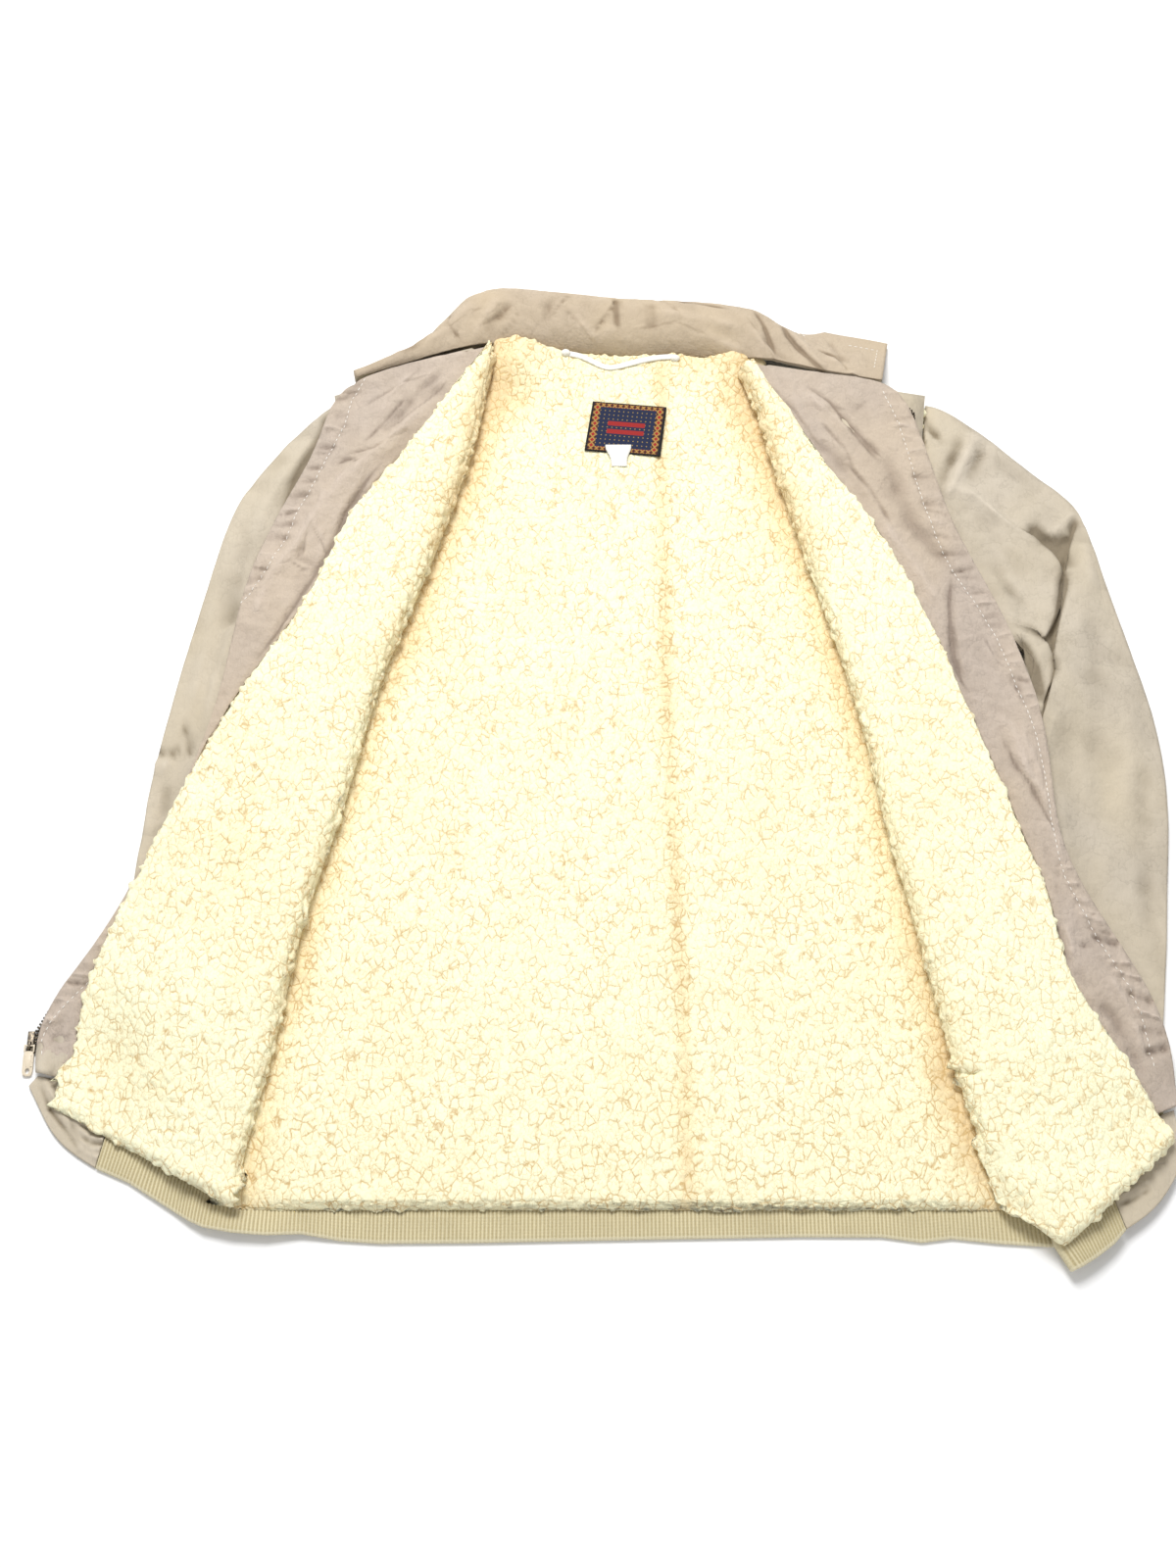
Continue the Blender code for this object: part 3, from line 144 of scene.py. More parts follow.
def makePileMaterial():
    material, tree, shader = startMaterial("creamPile", 0.95, sheen=0.12, specular=0.08)
    look = pileLook
    place = objectPlace(tree, (1.0, look["long"], 1.0))
    wander = noiseField(tree, place, look["curl"] * 1.3, 2.0)
    shift = addNode(tree, "VectorMath", operation="MULTIPLY_ADD")
    tree.links.new(wander.outputs["Color"], shift.inputs[0])
    shift.inputs[1].default_value = (look["wander"],) * 3
    tree.links.new(place, shift.inputs[2])
    warmShade = addNode(tree, "Attribute", attribute_name="warmShade").outputs["Fac"]

    # Painted shade in the crevices between the curls: golden lines along the cells' edges, broken up by
    # noise.
    def shadedCrevices(size, width, seed):
        cells = addNode(tree, "TexVoronoi", {"Scale": 1.0 / size, "Randomness": 1.0},
                        feature="DISTANCE_TO_EDGE")
        tree.links.new(shift.outputs[0], cells.inputs["Vector"])
        breaks = noiseField(tree, objectPlace(tree, (1, 1, 1), seed), size * 1.5, 2.0, 0.6)
        line = spread(tree, cells.outputs["Distance"], 0.0, width, 1.0, 0.0)
        kept = spread(tree, breaks.outputs["Fac"], 0.38, 0.56)
        return cells.outputs["Distance"], doMath(tree, "MULTIPLY", line, kept)

    wideCells, wideCreviceShade = shadedCrevices(look["curl"], 0.10, 0.0)
    fineCells, fineCreviceShade = shadedCrevices(look["fine"], 0.10, 0.9)
    patches = noiseField(tree, objectPlace(tree), look["patch"], 3.0, 0.6)
    toneAndShade = doMath(tree, "MULTIPLY_ADD", spread(tree, patches.outputs["Fac"], 0.42, 0.70), 0.40)
    tree.links.new(warmShade, toneAndShade.node.inputs[2])
    colour = mixColours(tree, toneAndShade, look["bright"], look["yellow"])
    # Painted shade: the pile turns ochre where its warm shade is high.
    colour = mixColours(tree, spread(tree, warmShade, 0.25, 1.1, 0.0, 0.8), colour, look["shadeOchre"])
    # The crevices' painted shade is deeper where the warm shade is higher.
    depth = doMath(tree, "ADD", wideCreviceShade, doMath(tree, "MULTIPLY", fineCreviceShade, 0.58))
    depth = doMath(tree, "MULTIPLY", depth, spread(tree, warmShade, 0.0, 0.8, 0.72, 1.20))
    colour = mixColours(tree, depth, colour, look["creviceShade"])
    tree.links.new(colour, shader.inputs["Base Color"])
    fluff = noiseField(tree, place, 0.9 * mm, 2.0, 0.7)
    height = doMath(tree, "ADD", spread(tree, wideCells, 0.0, 0.30),
                    spread(tree, fineCells, 0.0, 0.35, 0.0, 0.4))
    height = doMath(tree, "ADD", height, doMath(tree, "MULTIPLY", fluff.outputs["Fac"], 0.5))
    bumpShader(tree, shader, height, look["relief"], 0.45)
    return material


# Poplin: a fine plain weave, worn paler in patches, with creases too small for the cloth's own shape.
# The collar is browner and the facings are pinker than the shell.
poplinLooks = {
    "shell": {"light": (0.575, 0.508, 0.412), "dark": (0.475, 0.414, 0.324), "hollowShade": (0.46, 0.43, 0.38),
              "relief": 2.0 * mm},
    "collar": {"light": (0.545, 0.450, 0.342), "dark": (0.430, 0.346, 0.254), "hollowShade": (0.56, 0.52, 0.48),
               "relief": 2.8 * mm},
    "facing": {"light": (0.605, 0.510, 0.430), "dark": (0.480, 0.400, 0.332), "hollowShade": (0.58, 0.55, 0.54),
               "relief": 5.2 * mm},
}


def makePoplinMaterial(name, look):
    material, tree, shader = startMaterial(name, 0.82, sheen=0.08, specular=0.3)
    light, dark = look["light"], look["dark"]
    place = objectPlace(tree)
    patches = noiseField(tree, place, 45 * mm, 4.0, 0.6)
    slub = noiseField(tree, objectPlace(tree, (1.0, 0.16, 1.0), 0.2), 1.2 * mm, 2.0, 0.6)
    weaveOver = addNode(tree, "TexWave", {"Scale": 480.0, "Distortion": 0.6}, bands_direction="X")
    weaveUnder = addNode(tree, "TexWave", {"Scale": 480.0, "Distortion": 0.6}, bands_direction="Y")
    tree.links.new(place, weaveOver.inputs["Vector"])
    tree.links.new(place, weaveUnder.inputs["Vector"])
    weave = doMath(tree, "MULTIPLY", weaveOver.outputs["Fac"], weaveUnder.outputs["Fac"])
    worn = doMath(tree, "MULTIPLY", spread(tree, patches.outputs["Fac"], 0.3, 0.7), 0.7)
    grain = doMath(tree, "MULTIPLY", spread(tree, slub.outputs["Fac"], 0.3, 0.7), 0.3)
    colour = mixColours(tree, doMath(tree, "ADD", worn, grain), dark, light)
    wrinkles = noiseField(tree, place, 15 * mm, 4.0, 0.55)
    fold = doMath(tree, "ABSOLUTE", doMath(tree, "SUBTRACT", wrinkles.outputs["Fac"], 0.5))
    # Painted shade along the bottoms of the small creases.
    wrinkleShade = spread(tree, fold, 0.0, 0.022, 0.30, 0.0)
    colour = mixColours(tree, wrinkleShade, colour, tuple(0.62 * c for c in dark))
    tints = noiseField(tree, objectPlace(tree, (1.0, 0.7, 1.0), 0.4), 70 * mm, 2.0)
    colour = mixColours(tree, spread(tree, tints.outputs["Fac"], 0.35, 0.65, 0.0, 0.8), colour,
                        tuple(c * k for c, k in zip(light, (1.0, 0.975, 0.88))))
    # Painted shade in the hollows and a painted highlight on the crests, from each point's crease depth.
    depth = addNode(tree, "Attribute", attribute_name="crease").outputs["Fac"]
    colour = mixColours(tree, spread(tree, depth, 0.0, -1.0), colour, look["hollowShade"], "MULTIPLY")
    crestHighlight = tuple(1.12 * c for c in light)
    colour = mixColours(tree, spread(tree, depth, 0.0, 1.0, 0.0, 0.6), colour, crestHighlight)
    tree.links.new(colour, shader.inputs["Base Color"])
    small = noiseField(tree, objectPlace(tree, (1.0, 0.6, 1.0), 0.7), 6 * mm, 3.0, 0.6)
    height = doMath(tree, "ADD", fold, doMath(tree, "MULTIPLY", weave, 0.06))
    height = doMath(tree, "ADD", height, doMath(tree, "MULTIPLY", small.outputs["Fac"], 0.35))
    height = doMath(tree, "ADD", height, doMath(tree, "MULTIPLY", slub.outputs["Fac"], 0.08))
    bumpShader(tree, shader, height, look["relief"], 0.8)
    return material


# The "ribs" UV counts ribs along a band and runs from 0 at its sewn edge to 1 at its free edge.
ribLook = {
    "crest": (0.690, 0.610, 0.390), "grooveShade": (0.430, 0.355, 0.190), "pale": (0.800, 0.730, 0.520),
    "courses": 21.0, "selvedge": 0.955,
}


def makeRibMaterial():
    material, tree, shader = startMaterial("khakiRib", 0.85, sheen=0.12, specular=0.2)
    look = ribLook
    ribs = addNode(tree, "UVMap", uv_map="ribs")
    split = addNode(tree, "SeparateXYZ")
    tree.links.new(ribs.outputs["UV"], split.inputs[0])
    turn = doMath(tree, "MULTIPLY", split.outputs["X"], 2 * math.pi)
    crest = spread(tree, doMath(tree, "COSINE", turn), -0.9, 0.5)
    place = objectPlace(tree)
    blotch = noiseField(tree, place, 30 * mm, 3.0)
    fuzz = noiseField(tree, place, 0.9 * mm, 2.0, 0.6)
    worn = tuple(0.86 * c for c in look["crest"])
    crestColour = mixColours(tree, spread(tree, blotch.outputs["Fac"], 0.35, 0.65), look["crest"], worn)
    # Painted shade in the grooves between the ribs: they are coloured darker than the crests.
    colour = mixColours(tree, crest, look["grooveShade"], crestColour)
    colour = mixColours(tree, spread(tree, fuzz.outputs["Fac"], 0.35, 0.7, 0.0, 0.18), colour, look["pale"])
    edge = spread(tree, split.outputs["Y"], look["selvedge"], look["selvedge"] + 0.01, 0.0, 0.6)
    colour = mixColours(tree, edge, colour, look["pale"])
    tree.links.new(colour, shader.inputs["Base Color"])
    courses = doMath(tree, "MULTIPLY", split.outputs["Y"], 2 * math.pi * look["courses"])
    loops = doMath(tree, "SINE", courses)
    height = doMath(tree, "ADD", doMath(tree, "MULTIPLY", loops, 0.16), fuzz.outputs["Fac"])
    height = doMath(tree, "ADD", height, doMath(tree, "MULTIPLY", crest, 0.8))
    bumpShader(tree, shader, height, 0.45 * mm, 0.7)
    return material


# Tape, thread and label are woven in fine even rows; a wave repeats 0.314 times its scale.
waveRow = 0.314
tapeLook = {"twill": 0.9 * mm, "soil": 9 * mm}


def makeTapeMaterial(name, colour):
    material, tree, shader = startMaterial(name, 0.75, sheen=0.1, specular=0.3)
    place = objectPlace(tree)
    rows = addNode(tree, "TexWave", {"Scale": waveRow / tapeLook["twill"], "Distortion": 0.8},
                   bands_direction="DIAGONAL")
    tree.links.new(place, rows.inputs["Vector"])
    soil = noiseField(tree, place, tapeLook["soil"], 3.0)
    shade = doMath(tree, "ADD", doMath(tree, "MULTIPLY", rows.outputs["Fac"], 0.3),
                   doMath(tree, "MULTIPLY", soil.outputs["Fac"], 0.5))
    shaded = mixColours(tree, shade, colour, tuple(0.8 * c for c in colour))
    tree.links.new(shaded, shader.inputs["Base Color"])
    bumpShader(tree, shader, rows.outputs["Fac"], 0.15 * mm, 0.8)
    return material


def makeThreadMaterial():
    material, tree, shader = startMaterial("whiteThread", 0.6, sheen=0.1)
    ply = addNode(tree, "TexWave", {"Scale": waveRow / (0.5 * mm)}, bands_direction="DIAGONAL")
    tree.links.new(objectPlace(tree), ply.inputs["Vector"])
    colour = mixColours(tree, ply.outputs["Fac"], (0.80, 0.77, 0.70), (0.97, 0.95, 0.90))
    tree.links.new(colour, shader.inputs["Base Color"])
    bumpShader(tree, shader, ply.outputs["Fac"], 0.1 * mm, 0.6)
    return material


def makeBrassMaterial():
    material, tree, shader = startMaterial("darkBrass", 0.42, specular=0.5)
    shader.inputs["Metallic"].default_value = 1.0
    rubbed = noiseField(tree, objectPlace(tree), 1.6 * mm, 3.0)
    worn = spread(tree, rubbed.outputs["Fac"], 0.45, 0.7)
    colour = mixColours(tree, worn, (0.10, 0.085, 0.07), (0.34, 0.28, 0.19))
    tree.links.new(colour, shader.inputs["Base Color"])
    bumpShader(tree, shader, rubbed.outputs["Fac"], 0.08 * mm, 0.5)
    return material


def makePullMaterial():
    material, tree, shader = startMaterial("beigeEnamel", 0.4, specular=0.5)
    chips = noiseField(tree, objectPlace(tree), 1.3 * mm, 3.0, 0.6)
    chipped = spread(tree, chips.outputs["Fac"], 0.62, 0.68)
    colour = mixColours(tree, chipped, (0.72, 0.62, 0.47), (0.30, 0.25, 0.18))
    tree.links.new(colour, shader.inputs["Base Color"])
    bumpShader(tree, shader, chips.outputs["Fac"], 0.08 * mm, 0.5)
    return material


# The label's UV runs from its upper corner on the wearer's right; the border is a row of lozenges.
labelLook = {
    "selvedge": (0.012, 0.012, 0.014), "navy": (0.014, 0.022, 0.060), "red": (0.34, 0.022, 0.022),
    "gold": (0.40, 0.26, 0.07), "orange": (0.16, 0.03, 0.02),
    "border": 0.24, "lozenges": (13.0, 9.0), "checks": (16.0, 12.0),
}


def makeLabelMaterial():
    material, tree, shader = startMaterial("wovenLabel", 0.8, specular=0.12)
    look = labelLook
    weave = addNode(tree, "UVMap", uv_map="weave")
    split = addNode(tree, "SeparateXYZ")
    tree.links.new(weave.outputs["UV"], split.inputs[0])

    def fromMiddle(socket):
        doubled = doMath(tree, "MULTIPLY", socket, 2.0)
        return doMath(tree, "ABSOLUTE", doMath(tree, "SUBTRACT", doubled, 1.0))

    def lozenge(across, down):
        x = doMath(tree, "PINGPONG", doMath(tree, "MULTIPLY", split.outputs["X"], across), 0.5)
        y = doMath(tree, "PINGPONG", doMath(tree, "MULTIPLY", split.outputs["Y"], down), 0.5)
        return doMath(tree, "ADD", x, y)

    outX, outY = fromMiddle(split.outputs["X"]), fromMiddle(split.outputs["Y"])
    edgeY = doMath(tree, "SUBTRACT", doMath(tree, "MULTIPLY", outY, 1.25), 0.25)
    edge = doMath(tree, "MAXIMUM", outX, edgeY)
    border = lozenge(*look["lozenges"])
    rings = mixColours(tree, doMath(tree, "GREATER_THAN", border, 0.36), look["red"], look["gold"])
    rings = mixColours(tree, doMath(tree, "GREATER_THAN", border, 0.62), rings, look["orange"])
    rings = mixColours(tree, doMath(tree, "GREATER_THAN", border, 0.82), rings, look["selvedge"])
    checks = lozenge(*look["checks"])
    middle = mixColours(tree, doMath(tree, "LESS_THAN", checks, 0.16), look["navy"], look["gold"])
    band = doMath(tree, "LESS_THAN", doMath(tree, "ABSOLUTE", doMath(tree, "SUBTRACT", outY, 0.16)), 0.09)
    band = doMath(tree, "MULTIPLY", band, doMath(tree, "LESS_THAN", outX, 0.5))
    middle = mixColours(tree, band, middle, look["red"])
    colour = mixColours(tree, doMath(tree, "GREATER_THAN", edge, 1.0 - look["border"]), middle, rings)
    colour = mixColours(tree, doMath(tree, "GREATER_THAN", edge, 0.94), colour, look["selvedge"])
    place = objectPlace(tree)
    picks = addNode(tree, "TexWave", {"Scale": waveRow / (0.5 * mm)}, bands_direction="Y")
    tree.links.new(place, picks.inputs["Vector"])
    fuzz = noiseField(tree, place, 0.8 * mm, 2.0, 0.6)
    faded = doMath(tree, "MULTIPLY", fuzz.outputs["Fac"], 0.05)
    tree.links.new(mixColours(tree, faded, colour, (0.5, 0.45, 0.38)), shader.inputs["Base Color"])
    bumpShader(tree, shader, picks.outputs["Fac"], 0.15 * mm, 0.8)
    return material


finishes = {
    "shell": makePoplinMaterial("beigePoplin", poplinLooks["shell"]),
    "collar": makePoplinMaterial("collarPoplin", poplinLooks["collar"]),
    "facing": makePoplinMaterial("pinkPoplin", poplinLooks["facing"]),
    "pile": makePileMaterial(),
    "rib": makeRibMaterial(),
    "label": makeLabelMaterial(),
    "tape": makeTapeMaterial("whiteTape", (0.93, 0.91, 0.84)),
    "zip_tape": makeTapeMaterial("beigeZipTape", (0.62, 0.53, 0.39)),
    "zip_metal": makeBrassMaterial(),
    "pull": makePullMaterial(),
    "thread": makeThreadMaterial(),
}
print("materials made")

# Cages are welded, and their edges count as rims where faces meet at more than this angle.
weldDistance = 0.002 * mm
rimAngle = 52.0


def treeOf(meshes):
    points, faces = [], []
    for mesh in meshes:
        start = len(points)
        points += [vertex.co.copy() for vertex in mesh.vertices]
        faces += [tuple(start + index for index in face.vertices) for face in mesh.polygons]
    return BVHTree.FromPolygons(points, faces)


wholeJacket = treeOf([node.data for node in frame["nodes"].values()])


# What lies above a point decides whether it is exposed: a ray from it, between its normal and
# straight up, has to leave the jacket.
lookUp = {"lowest": -0.35, "lift": 0.9, "clear": 1.5 * mm}


def exposure(places, normals):
    shown = np.zeros(len(places))
    for index, (place, normal) in enumerate(zip(places, normals)):
        if normal[2] > lookUp["lowest"]:
            ray = Vector((normal[0], normal[1], normal[2] + lookUp["lift"])).normalized()
            start = Vector(place) + ray * lookUp["clear"]
            shown[index] = wholeJacket.ray_cast(start, ray)[0] is None
    return shown


# Cloth starts from a welded copy of its node, in quads, with its rims creased before it is smoothed.
def clothCage(node, rim=1.0):
    cage = bmesh.new()
    cage.from_mesh(frame["nodes"][node].data)
    bmesh.ops.remove_doubles(cage, verts=cage.verts, dist=weldDistance)
    bmesh.ops.join_triangles(cage, faces=cage.faces, angle_face_threshold=math.radians(70),
                             angle_shape_threshold=math.pi, topology_influence=2.0)
    crease = cage.edges.layers.float.new("crease_edge")
    for edge in cage.edges:
        if edge.calc_face_angle(0.0) > math.radians(rimAngle):
            edge[crease] = rim
    return cage


def pieceFrom(cage, name):
    mesh = bpy.data.meshes.new(name)
    cage.to_mesh(mesh)
    cage.free()
    for leftOver in ("custom_normal", "sharp_edge", "sharp_face"):
        if leftOver in mesh.attributes:
            mesh.attributes.remove(mesh.attributes[leftOver])
    mesh.materials.clear()
    piece = bpy.data.objects.new(name, mesh)
    bpy.context.scene.collection.objects.link(piece)
    return piece


def applyModifiers(piece):
    mesh = bpy.data.meshes.new_from_object(piece.evaluated_get(bpy.context.evaluated_depsgraph_get()))
    piece.modifiers.clear()
    piece.data = mesh
    mesh.name = piece.name


def smoothCloth(piece, levels):
    smoother = piece.modifiers.new("smooth", "SUBSURF")
    smoother.levels = levels
    smoother.render_levels = levels
    applyModifiers(piece)


def readPoints(piece):
    count = len(piece.data.vertices)
    places, normals = np.zeros(count * 3), np.zeros(count * 3)
    piece.data.vertices.foreach_get("co", places)
    piece.data.vertices.foreach_get("normal", normals)
    return places.reshape(-1, 3), normals.reshape(-1, 3)


def writePoints(piece, places):
    piece.data.vertices.foreach_set("co", places.ravel())
    piece.data.update()


def smoothStep(values, low, high):
    share = np.clip((values - low) / (high - low), 0.0, 1.0)
    return share * share * (3.0 - 2.0 * share)


# Lines in plan are given in millimetres. This tells where points stand beside one: how far away, how
# far along (0 to 1), and on which side (1 = its left), with the direction away to that left side.
def besideLine(places, line, reach):
    line = np.array(line) * mm
    steps = line[1:] - line[:-1]
    lengths = np.hypot(steps[:, 0], steps[:, 1])
    starts = np.concatenate(([0.0], np.cumsum(lengths)))
    low, high = line.min(0) - reach, line.max(0) + reach
    near = np.nonzero(((places[:, :2] > low) & (places[:, :2] < high)).all(1))[0]
    away, along = np.full(len(near), 1e9), np.zeros(len(near))
    side, left = np.ones(len(near)), np.zeros((len(near), 2))
    for start, step, length, before in zip(line[:-1], steps, lengths, starts):
        offset = places[near, :2] - start
        share = np.clip((offset @ step) / (length * length), 0.0, 1.0)
        rest = offset - share[:, None] * step
        gap = np.hypot(rest[:, 0], rest[:, 1])
        across = np.array((-step[1], step[0])) / length
        closer = gap < away
        away[closer] = gap[closer]
        along[closer] = ((before + share * length) / starts[-1])[closer]
        side[closer] = np.sign(offset @ across + 1e-12)[closer]
        left[closer] = across
    return near, away, along, side, left


# A stroke is one fold (height above 0) or groove pressed along a line in plan. Sharp ones
# have a narrow crest; the ends taper, and the height wavers along the way. "mark" is how strongly it
# darkens or pales the cloth, which is less for wide ones.
# A stroke's mark paints shade into its groove and a highlight onto its fold, through the crease depth.
def stroke(high, wide, sharp, *line, mark=None):
    mark = min(0.75, 9.0 / wide ** 2) if mark is None else mark
    return {"high": 1.45 * high * mm, "wide": wide * mm, "sharp": sharp, "line": line, "mark": mark}


def strokeHeights(places, fold):
    near, away, along, _, _ = besideLine(places, fold["line"], fold["wide"] * 3.2)
    start = fold["line"][0]
    soft = np.exp(-(away / fold["wide"]) ** 2)
    pinch = np.clip(1.0 - away / (1.8 * fold["wide"]), 0.0, 1.0) ** 1.6
    taper = np.clip(np.minimum(along / 0.14, (1.0 - along) / 0.2), 0.0, 1.0)
    uneven = 0.8 + 0.28 * np.sin(along * 9.0 + 0.040 * start[0])
    uneven += 0.12 * np.sin(along * 23.0 + 0.060 * start[1])
    heights = np.zeros(len(places))
    heights[near] = fold["high"] * (soft * (1 - fold["sharp"]) + pinch * fold["sharp"]) * taper * uneven
    return heights


# Each point keeps its depth as "crease", which paints shade into the hollows (greyer) and a highlight onto
# the crests (a little paler). The depths given here are those of a full mark, for strokes and for small
# creases.
fullMark = {"stroke": 1.9 * mm, "crumple": 3.0 * mm, "most": 1.3}


def markCreases(piece, depths):
    mesh = piece.data
    values = np.zeros(len(mesh.vertices))
    if "crease" in mesh.attributes:
        mesh.attributes["crease"].data.foreach_get("value", values)
    else:
        mesh.attributes.new("crease", "FLOAT", "POINT")
    depths = np.clip(values + depths, -fullMark["most"], fullMark["most"])
    mesh.attributes["crease"].data.foreach_set("value", depths)


# How far the chosen points can sink before they touch the layer under them.
def roomBelow(piece, places, chosen):
    tree = treeOf([piece.data])
    room = np.zeros(len(places))
    step = Vector((0, 0, -0.01 * mm))
    for index in chosen:
        start, hits = Vector(places[index]) + step, []
        hit = tree.ray_cast(start, step)[0]
        while hit is not None:
            hits.append(hit.z)
            hit = tree.ray_cast(hit + step, step)[0]
        if len(hits) > 1:
            room[index] = 0.8 * max(places[index][2] - hits[-2] - 0.4 * mm, 0.0)
    return room


# "weight" says how much of a crease each point takes; with keepRoom, grooves stop above the layer
# under them.
def pressStrokes(piece, folds, weight, keepRoom=False):
    places, _ = readPoints(piece)
    share = weight(places)
    total, marks = np.zeros(len(places)), np.zeros(len(places))
    for fold in folds:
        heights = strokeHeights(places, fold) * share
        total += heights
        marks += heights * fold["mark"] / fullMark["stroke"]
    markCreases(piece, marks)
    if keepRoom:
        deep = np.nonzero(total < -0.1 * mm)[0]
        total[deep] = np.maximum(total[deep], -roomBelow(piece, places, deep)[deep])
    places[:, 2] += total
    writePoints(piece, places)


# Cloth deep in a fold or under an edge is darker: a line in plan, its half width (mm) and how dark.
def shadeLines(piece, shadows, weight):
    places, _ = readPoints(piece)
    depths = np.zeros(len(places))
    for wide, dark, *line in shadows:
        near, away, along, _, _ = besideLine(places, line, wide * 2 * mm)
        ends = np.clip(np.minimum(along, 1.0 - along) / 0.12, 0.3, 1.0)
        depths[near] -= dark * np.exp(-(away / (wide * mm)) ** 3) * ends
    markCreases(piece, depths * weight(places))


# A layer of cloth that lies over another: its edge stands up along a line and leans out over it.
def foldOver(piece, fold, weight):
    places, _ = readPoints(piece)
    near, away, along, side, left = besideLine(places, fold["line"], fold["reach"] * 3)
    inward = away * side * fold["side"]
    ends = np.clip(np.minimum(along / fold["start"], (1.0 - along) / fold["end"]), 0.0, 1.0)
    share = ends * weight(places)[near]
    rise = smoothStep(inward, -0.5 * mm, 1.2 * mm) * np.exp(-(np.maximum(inward, 0.0) / fold["reach"]) ** 2)
    dip = np.exp(-((inward + 2.2 * mm) / (2.4 * mm)) ** 2) * fold["dip"]
    lean = smoothStep(inward, -0.6 * mm, 0.8 * mm) * (1.0 - smoothStep(inward, 1.0 * mm, 7.0 * mm))
    lean *= fold["lip"]
    places[near, 2] += (rise * fold["high"] - dip) * share
    # Painted shadow on the lower cloth just beside the raised edge.
    shadow = np.zeros(len(places))
    shadow[near] = -fold["shade"] * share * np.exp(-((inward + 1.4 * mm) / (1.8 * mm)) ** 2)
    markCreases(piece, shadow)
    places[near, :2] -= left * (fold["side"] * lean * share)[:, None]
    writePoints(piece, places)


# Small creases all over a cloth, in two sizes, with folded ridges rather than round waves.
def crumple(piece, settings, weight):
    places, _ = readPoints(piece)
    size, seed = settings["size"], settings["seed"]
    lift = np.zeros(len(places))
    for index, place in enumerate(places):
        spot = Vector((place[0] / size + seed, place[1] / size, seed * 0.7))
        ridge = 0.5 - abs(noise.noise(spot + noise.noise_vector(spot * 0.7) * 0.9))
        lift[index] = ridge - 0.30 + 0.30 * noise.noise(spot * 2.6)
    lift *= settings["high"] * weight(places)
    # The creases' heights also paint shade into their hollows and a highlight onto their ridges.
    markCreases(piece, lift / fullMark["crumple"])
    places[:, 2] += lift
    writePoints(piece, places)


# Only faces that look up and lie open are cut finer; all others keep their size.
def refineShown(piece, longest, rounds=2):
    mesh = bmesh.new()
    mesh.from_mesh(piece.data)
    for _ in range(rounds):
        mesh.normal_update()
        points = [vertex.co for vertex in mesh.verts]
        shown = exposure(points, [vertex.normal for vertex in mesh.verts])
        mesh.verts.index_update()
        long = [e for e in mesh.edges if e.calc_length() > longest and max(shown[v.index] for v in e.verts)
                and max(f.normal.z for f in e.link_faces) > -0.1]
        if not long:
            break
        bmesh.ops.subdivide_edges(mesh, edges=long, cuts=1, use_grid_fill=True)
    mesh.to_mesh(piece.data)
    mesh.free()


# Cloth beside a line is cut finer, so that narrow creases stay smooth.
def refineNear(piece, line, reach, longest, rounds=2):
    mesh = bmesh.new()
    mesh.from_mesh(piece.data)
    for _ in range(rounds):
        mesh.verts.index_update()
        places = np.array([vertex.co for vertex in mesh.verts])
        near, away, _, _, _ = besideLine(places, line, reach)
        close = set(near[away < reach])
        long = [e for e in mesh.edges if e.calc_length() > longest and e.verts[0].index in close
                and e.verts[1].index in close and e.verts[0].co.z > 2 * mm]
        if not long:
            break
        bmesh.ops.subdivide_edges(mesh, edges=long, cuts=1, use_grid_fill=True)
    mesh.to_mesh(piece.data)
    mesh.free()


# Pile stands up in curls where it is exposed, larger round its edges, and stays flat where pressed.
def raiseCurls(piece, settings):
    places, normals = readPoints(piece)
    shown = exposure(places, normals)
    swell = np.zeros(len(places))
    curl, drift = settings["curl"], Vector((settings["seed"], 0, 0))
    for index in np.nonzero(shown)[0]:
        place = Vector(places[index])
        spot = Vector((place.x, place.y * 0.78, place.z)) / curl
        spot += noise.noise_vector(spot * 0.8 + drift) * 0.55
        near = noise.voronoi(spot)[0]
        dome = min(1.0, (near[1] - near[0]) * 1.7)
        edge = 1.0 - min(1.0, abs(normals[index][2]) * 1.1)
        swell[index] = (dome - 0.45) * (1.0 + settings["edge"] * edge)
        swell[index] += 0.8 * noise.noise(place / (19 * mm))
    places += normals * (swell * settings["high"])[:, None]
    places[:, 2] = np.maximum(places[:, 2], 0.0)
    writePoints(piece, places)


# Painted shade: the pile's colour is made warmer and darker along some lines, on one side of them where
# "side" is given, and on its steep walls (not those facing the hem), where shade falls.
def paintWarmShade(piece, warmShades):
    places, normals = readPoints(piece)
    share = np.zeros(len(places))
    for band in warmShades:
        near, away, along, side, _ = besideLine(places, band["line"], band["wide"] * 3)
        reach = band["wide"] * np.where(side * band.get("side", 0) < 0, 0.25, 1.0)
        tint = band["share"] * np.exp(-(away / reach) ** band.get("fall", 1.4))
        share[near] += tint * (0.95 + 0.15 * np.sin(along * 19))
    for index in np.nonzero(share > 0.02)[0]:
        share[index] *= 1.0 + 0.45 * noise.noise(Vector(places[index]) / (7 * mm))
    # Painted shade on the pile's steep walls, apart from those that face the hem.
    share += 0.16 * np.clip(0.75 - normals[:, 2], 0.0, 1.0) * (normals[:, 1] > -0.3)
    warmShade = piece.data.attributes.new("warmShade", "FLOAT", "POINT")
    warmShade.data.foreach_set("value", np.clip(share, 0.0, 1.2))


def finishPiece(piece, settings, body="jacket"):
    material = finishes[settings.get("finish", settings["slot"])]
    piece.data.materials.clear()
    piece.data.materials.append(material)
    piece.data.polygons.foreach_set("use_smooth", [True] * len(piece.data.polygons))
    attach(piece, body)
    if "node" in settings:
        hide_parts(settings["node"])
    finished[piece.name] = piece
    return piece


# What is sewn on to a sheet is listed under the sheet's name.
finished, sheets, sewnOn = {}, [], {}


def layCloth(piece, settings):
    finishPiece(piece, settings)
    sheets.append((piece, settings))


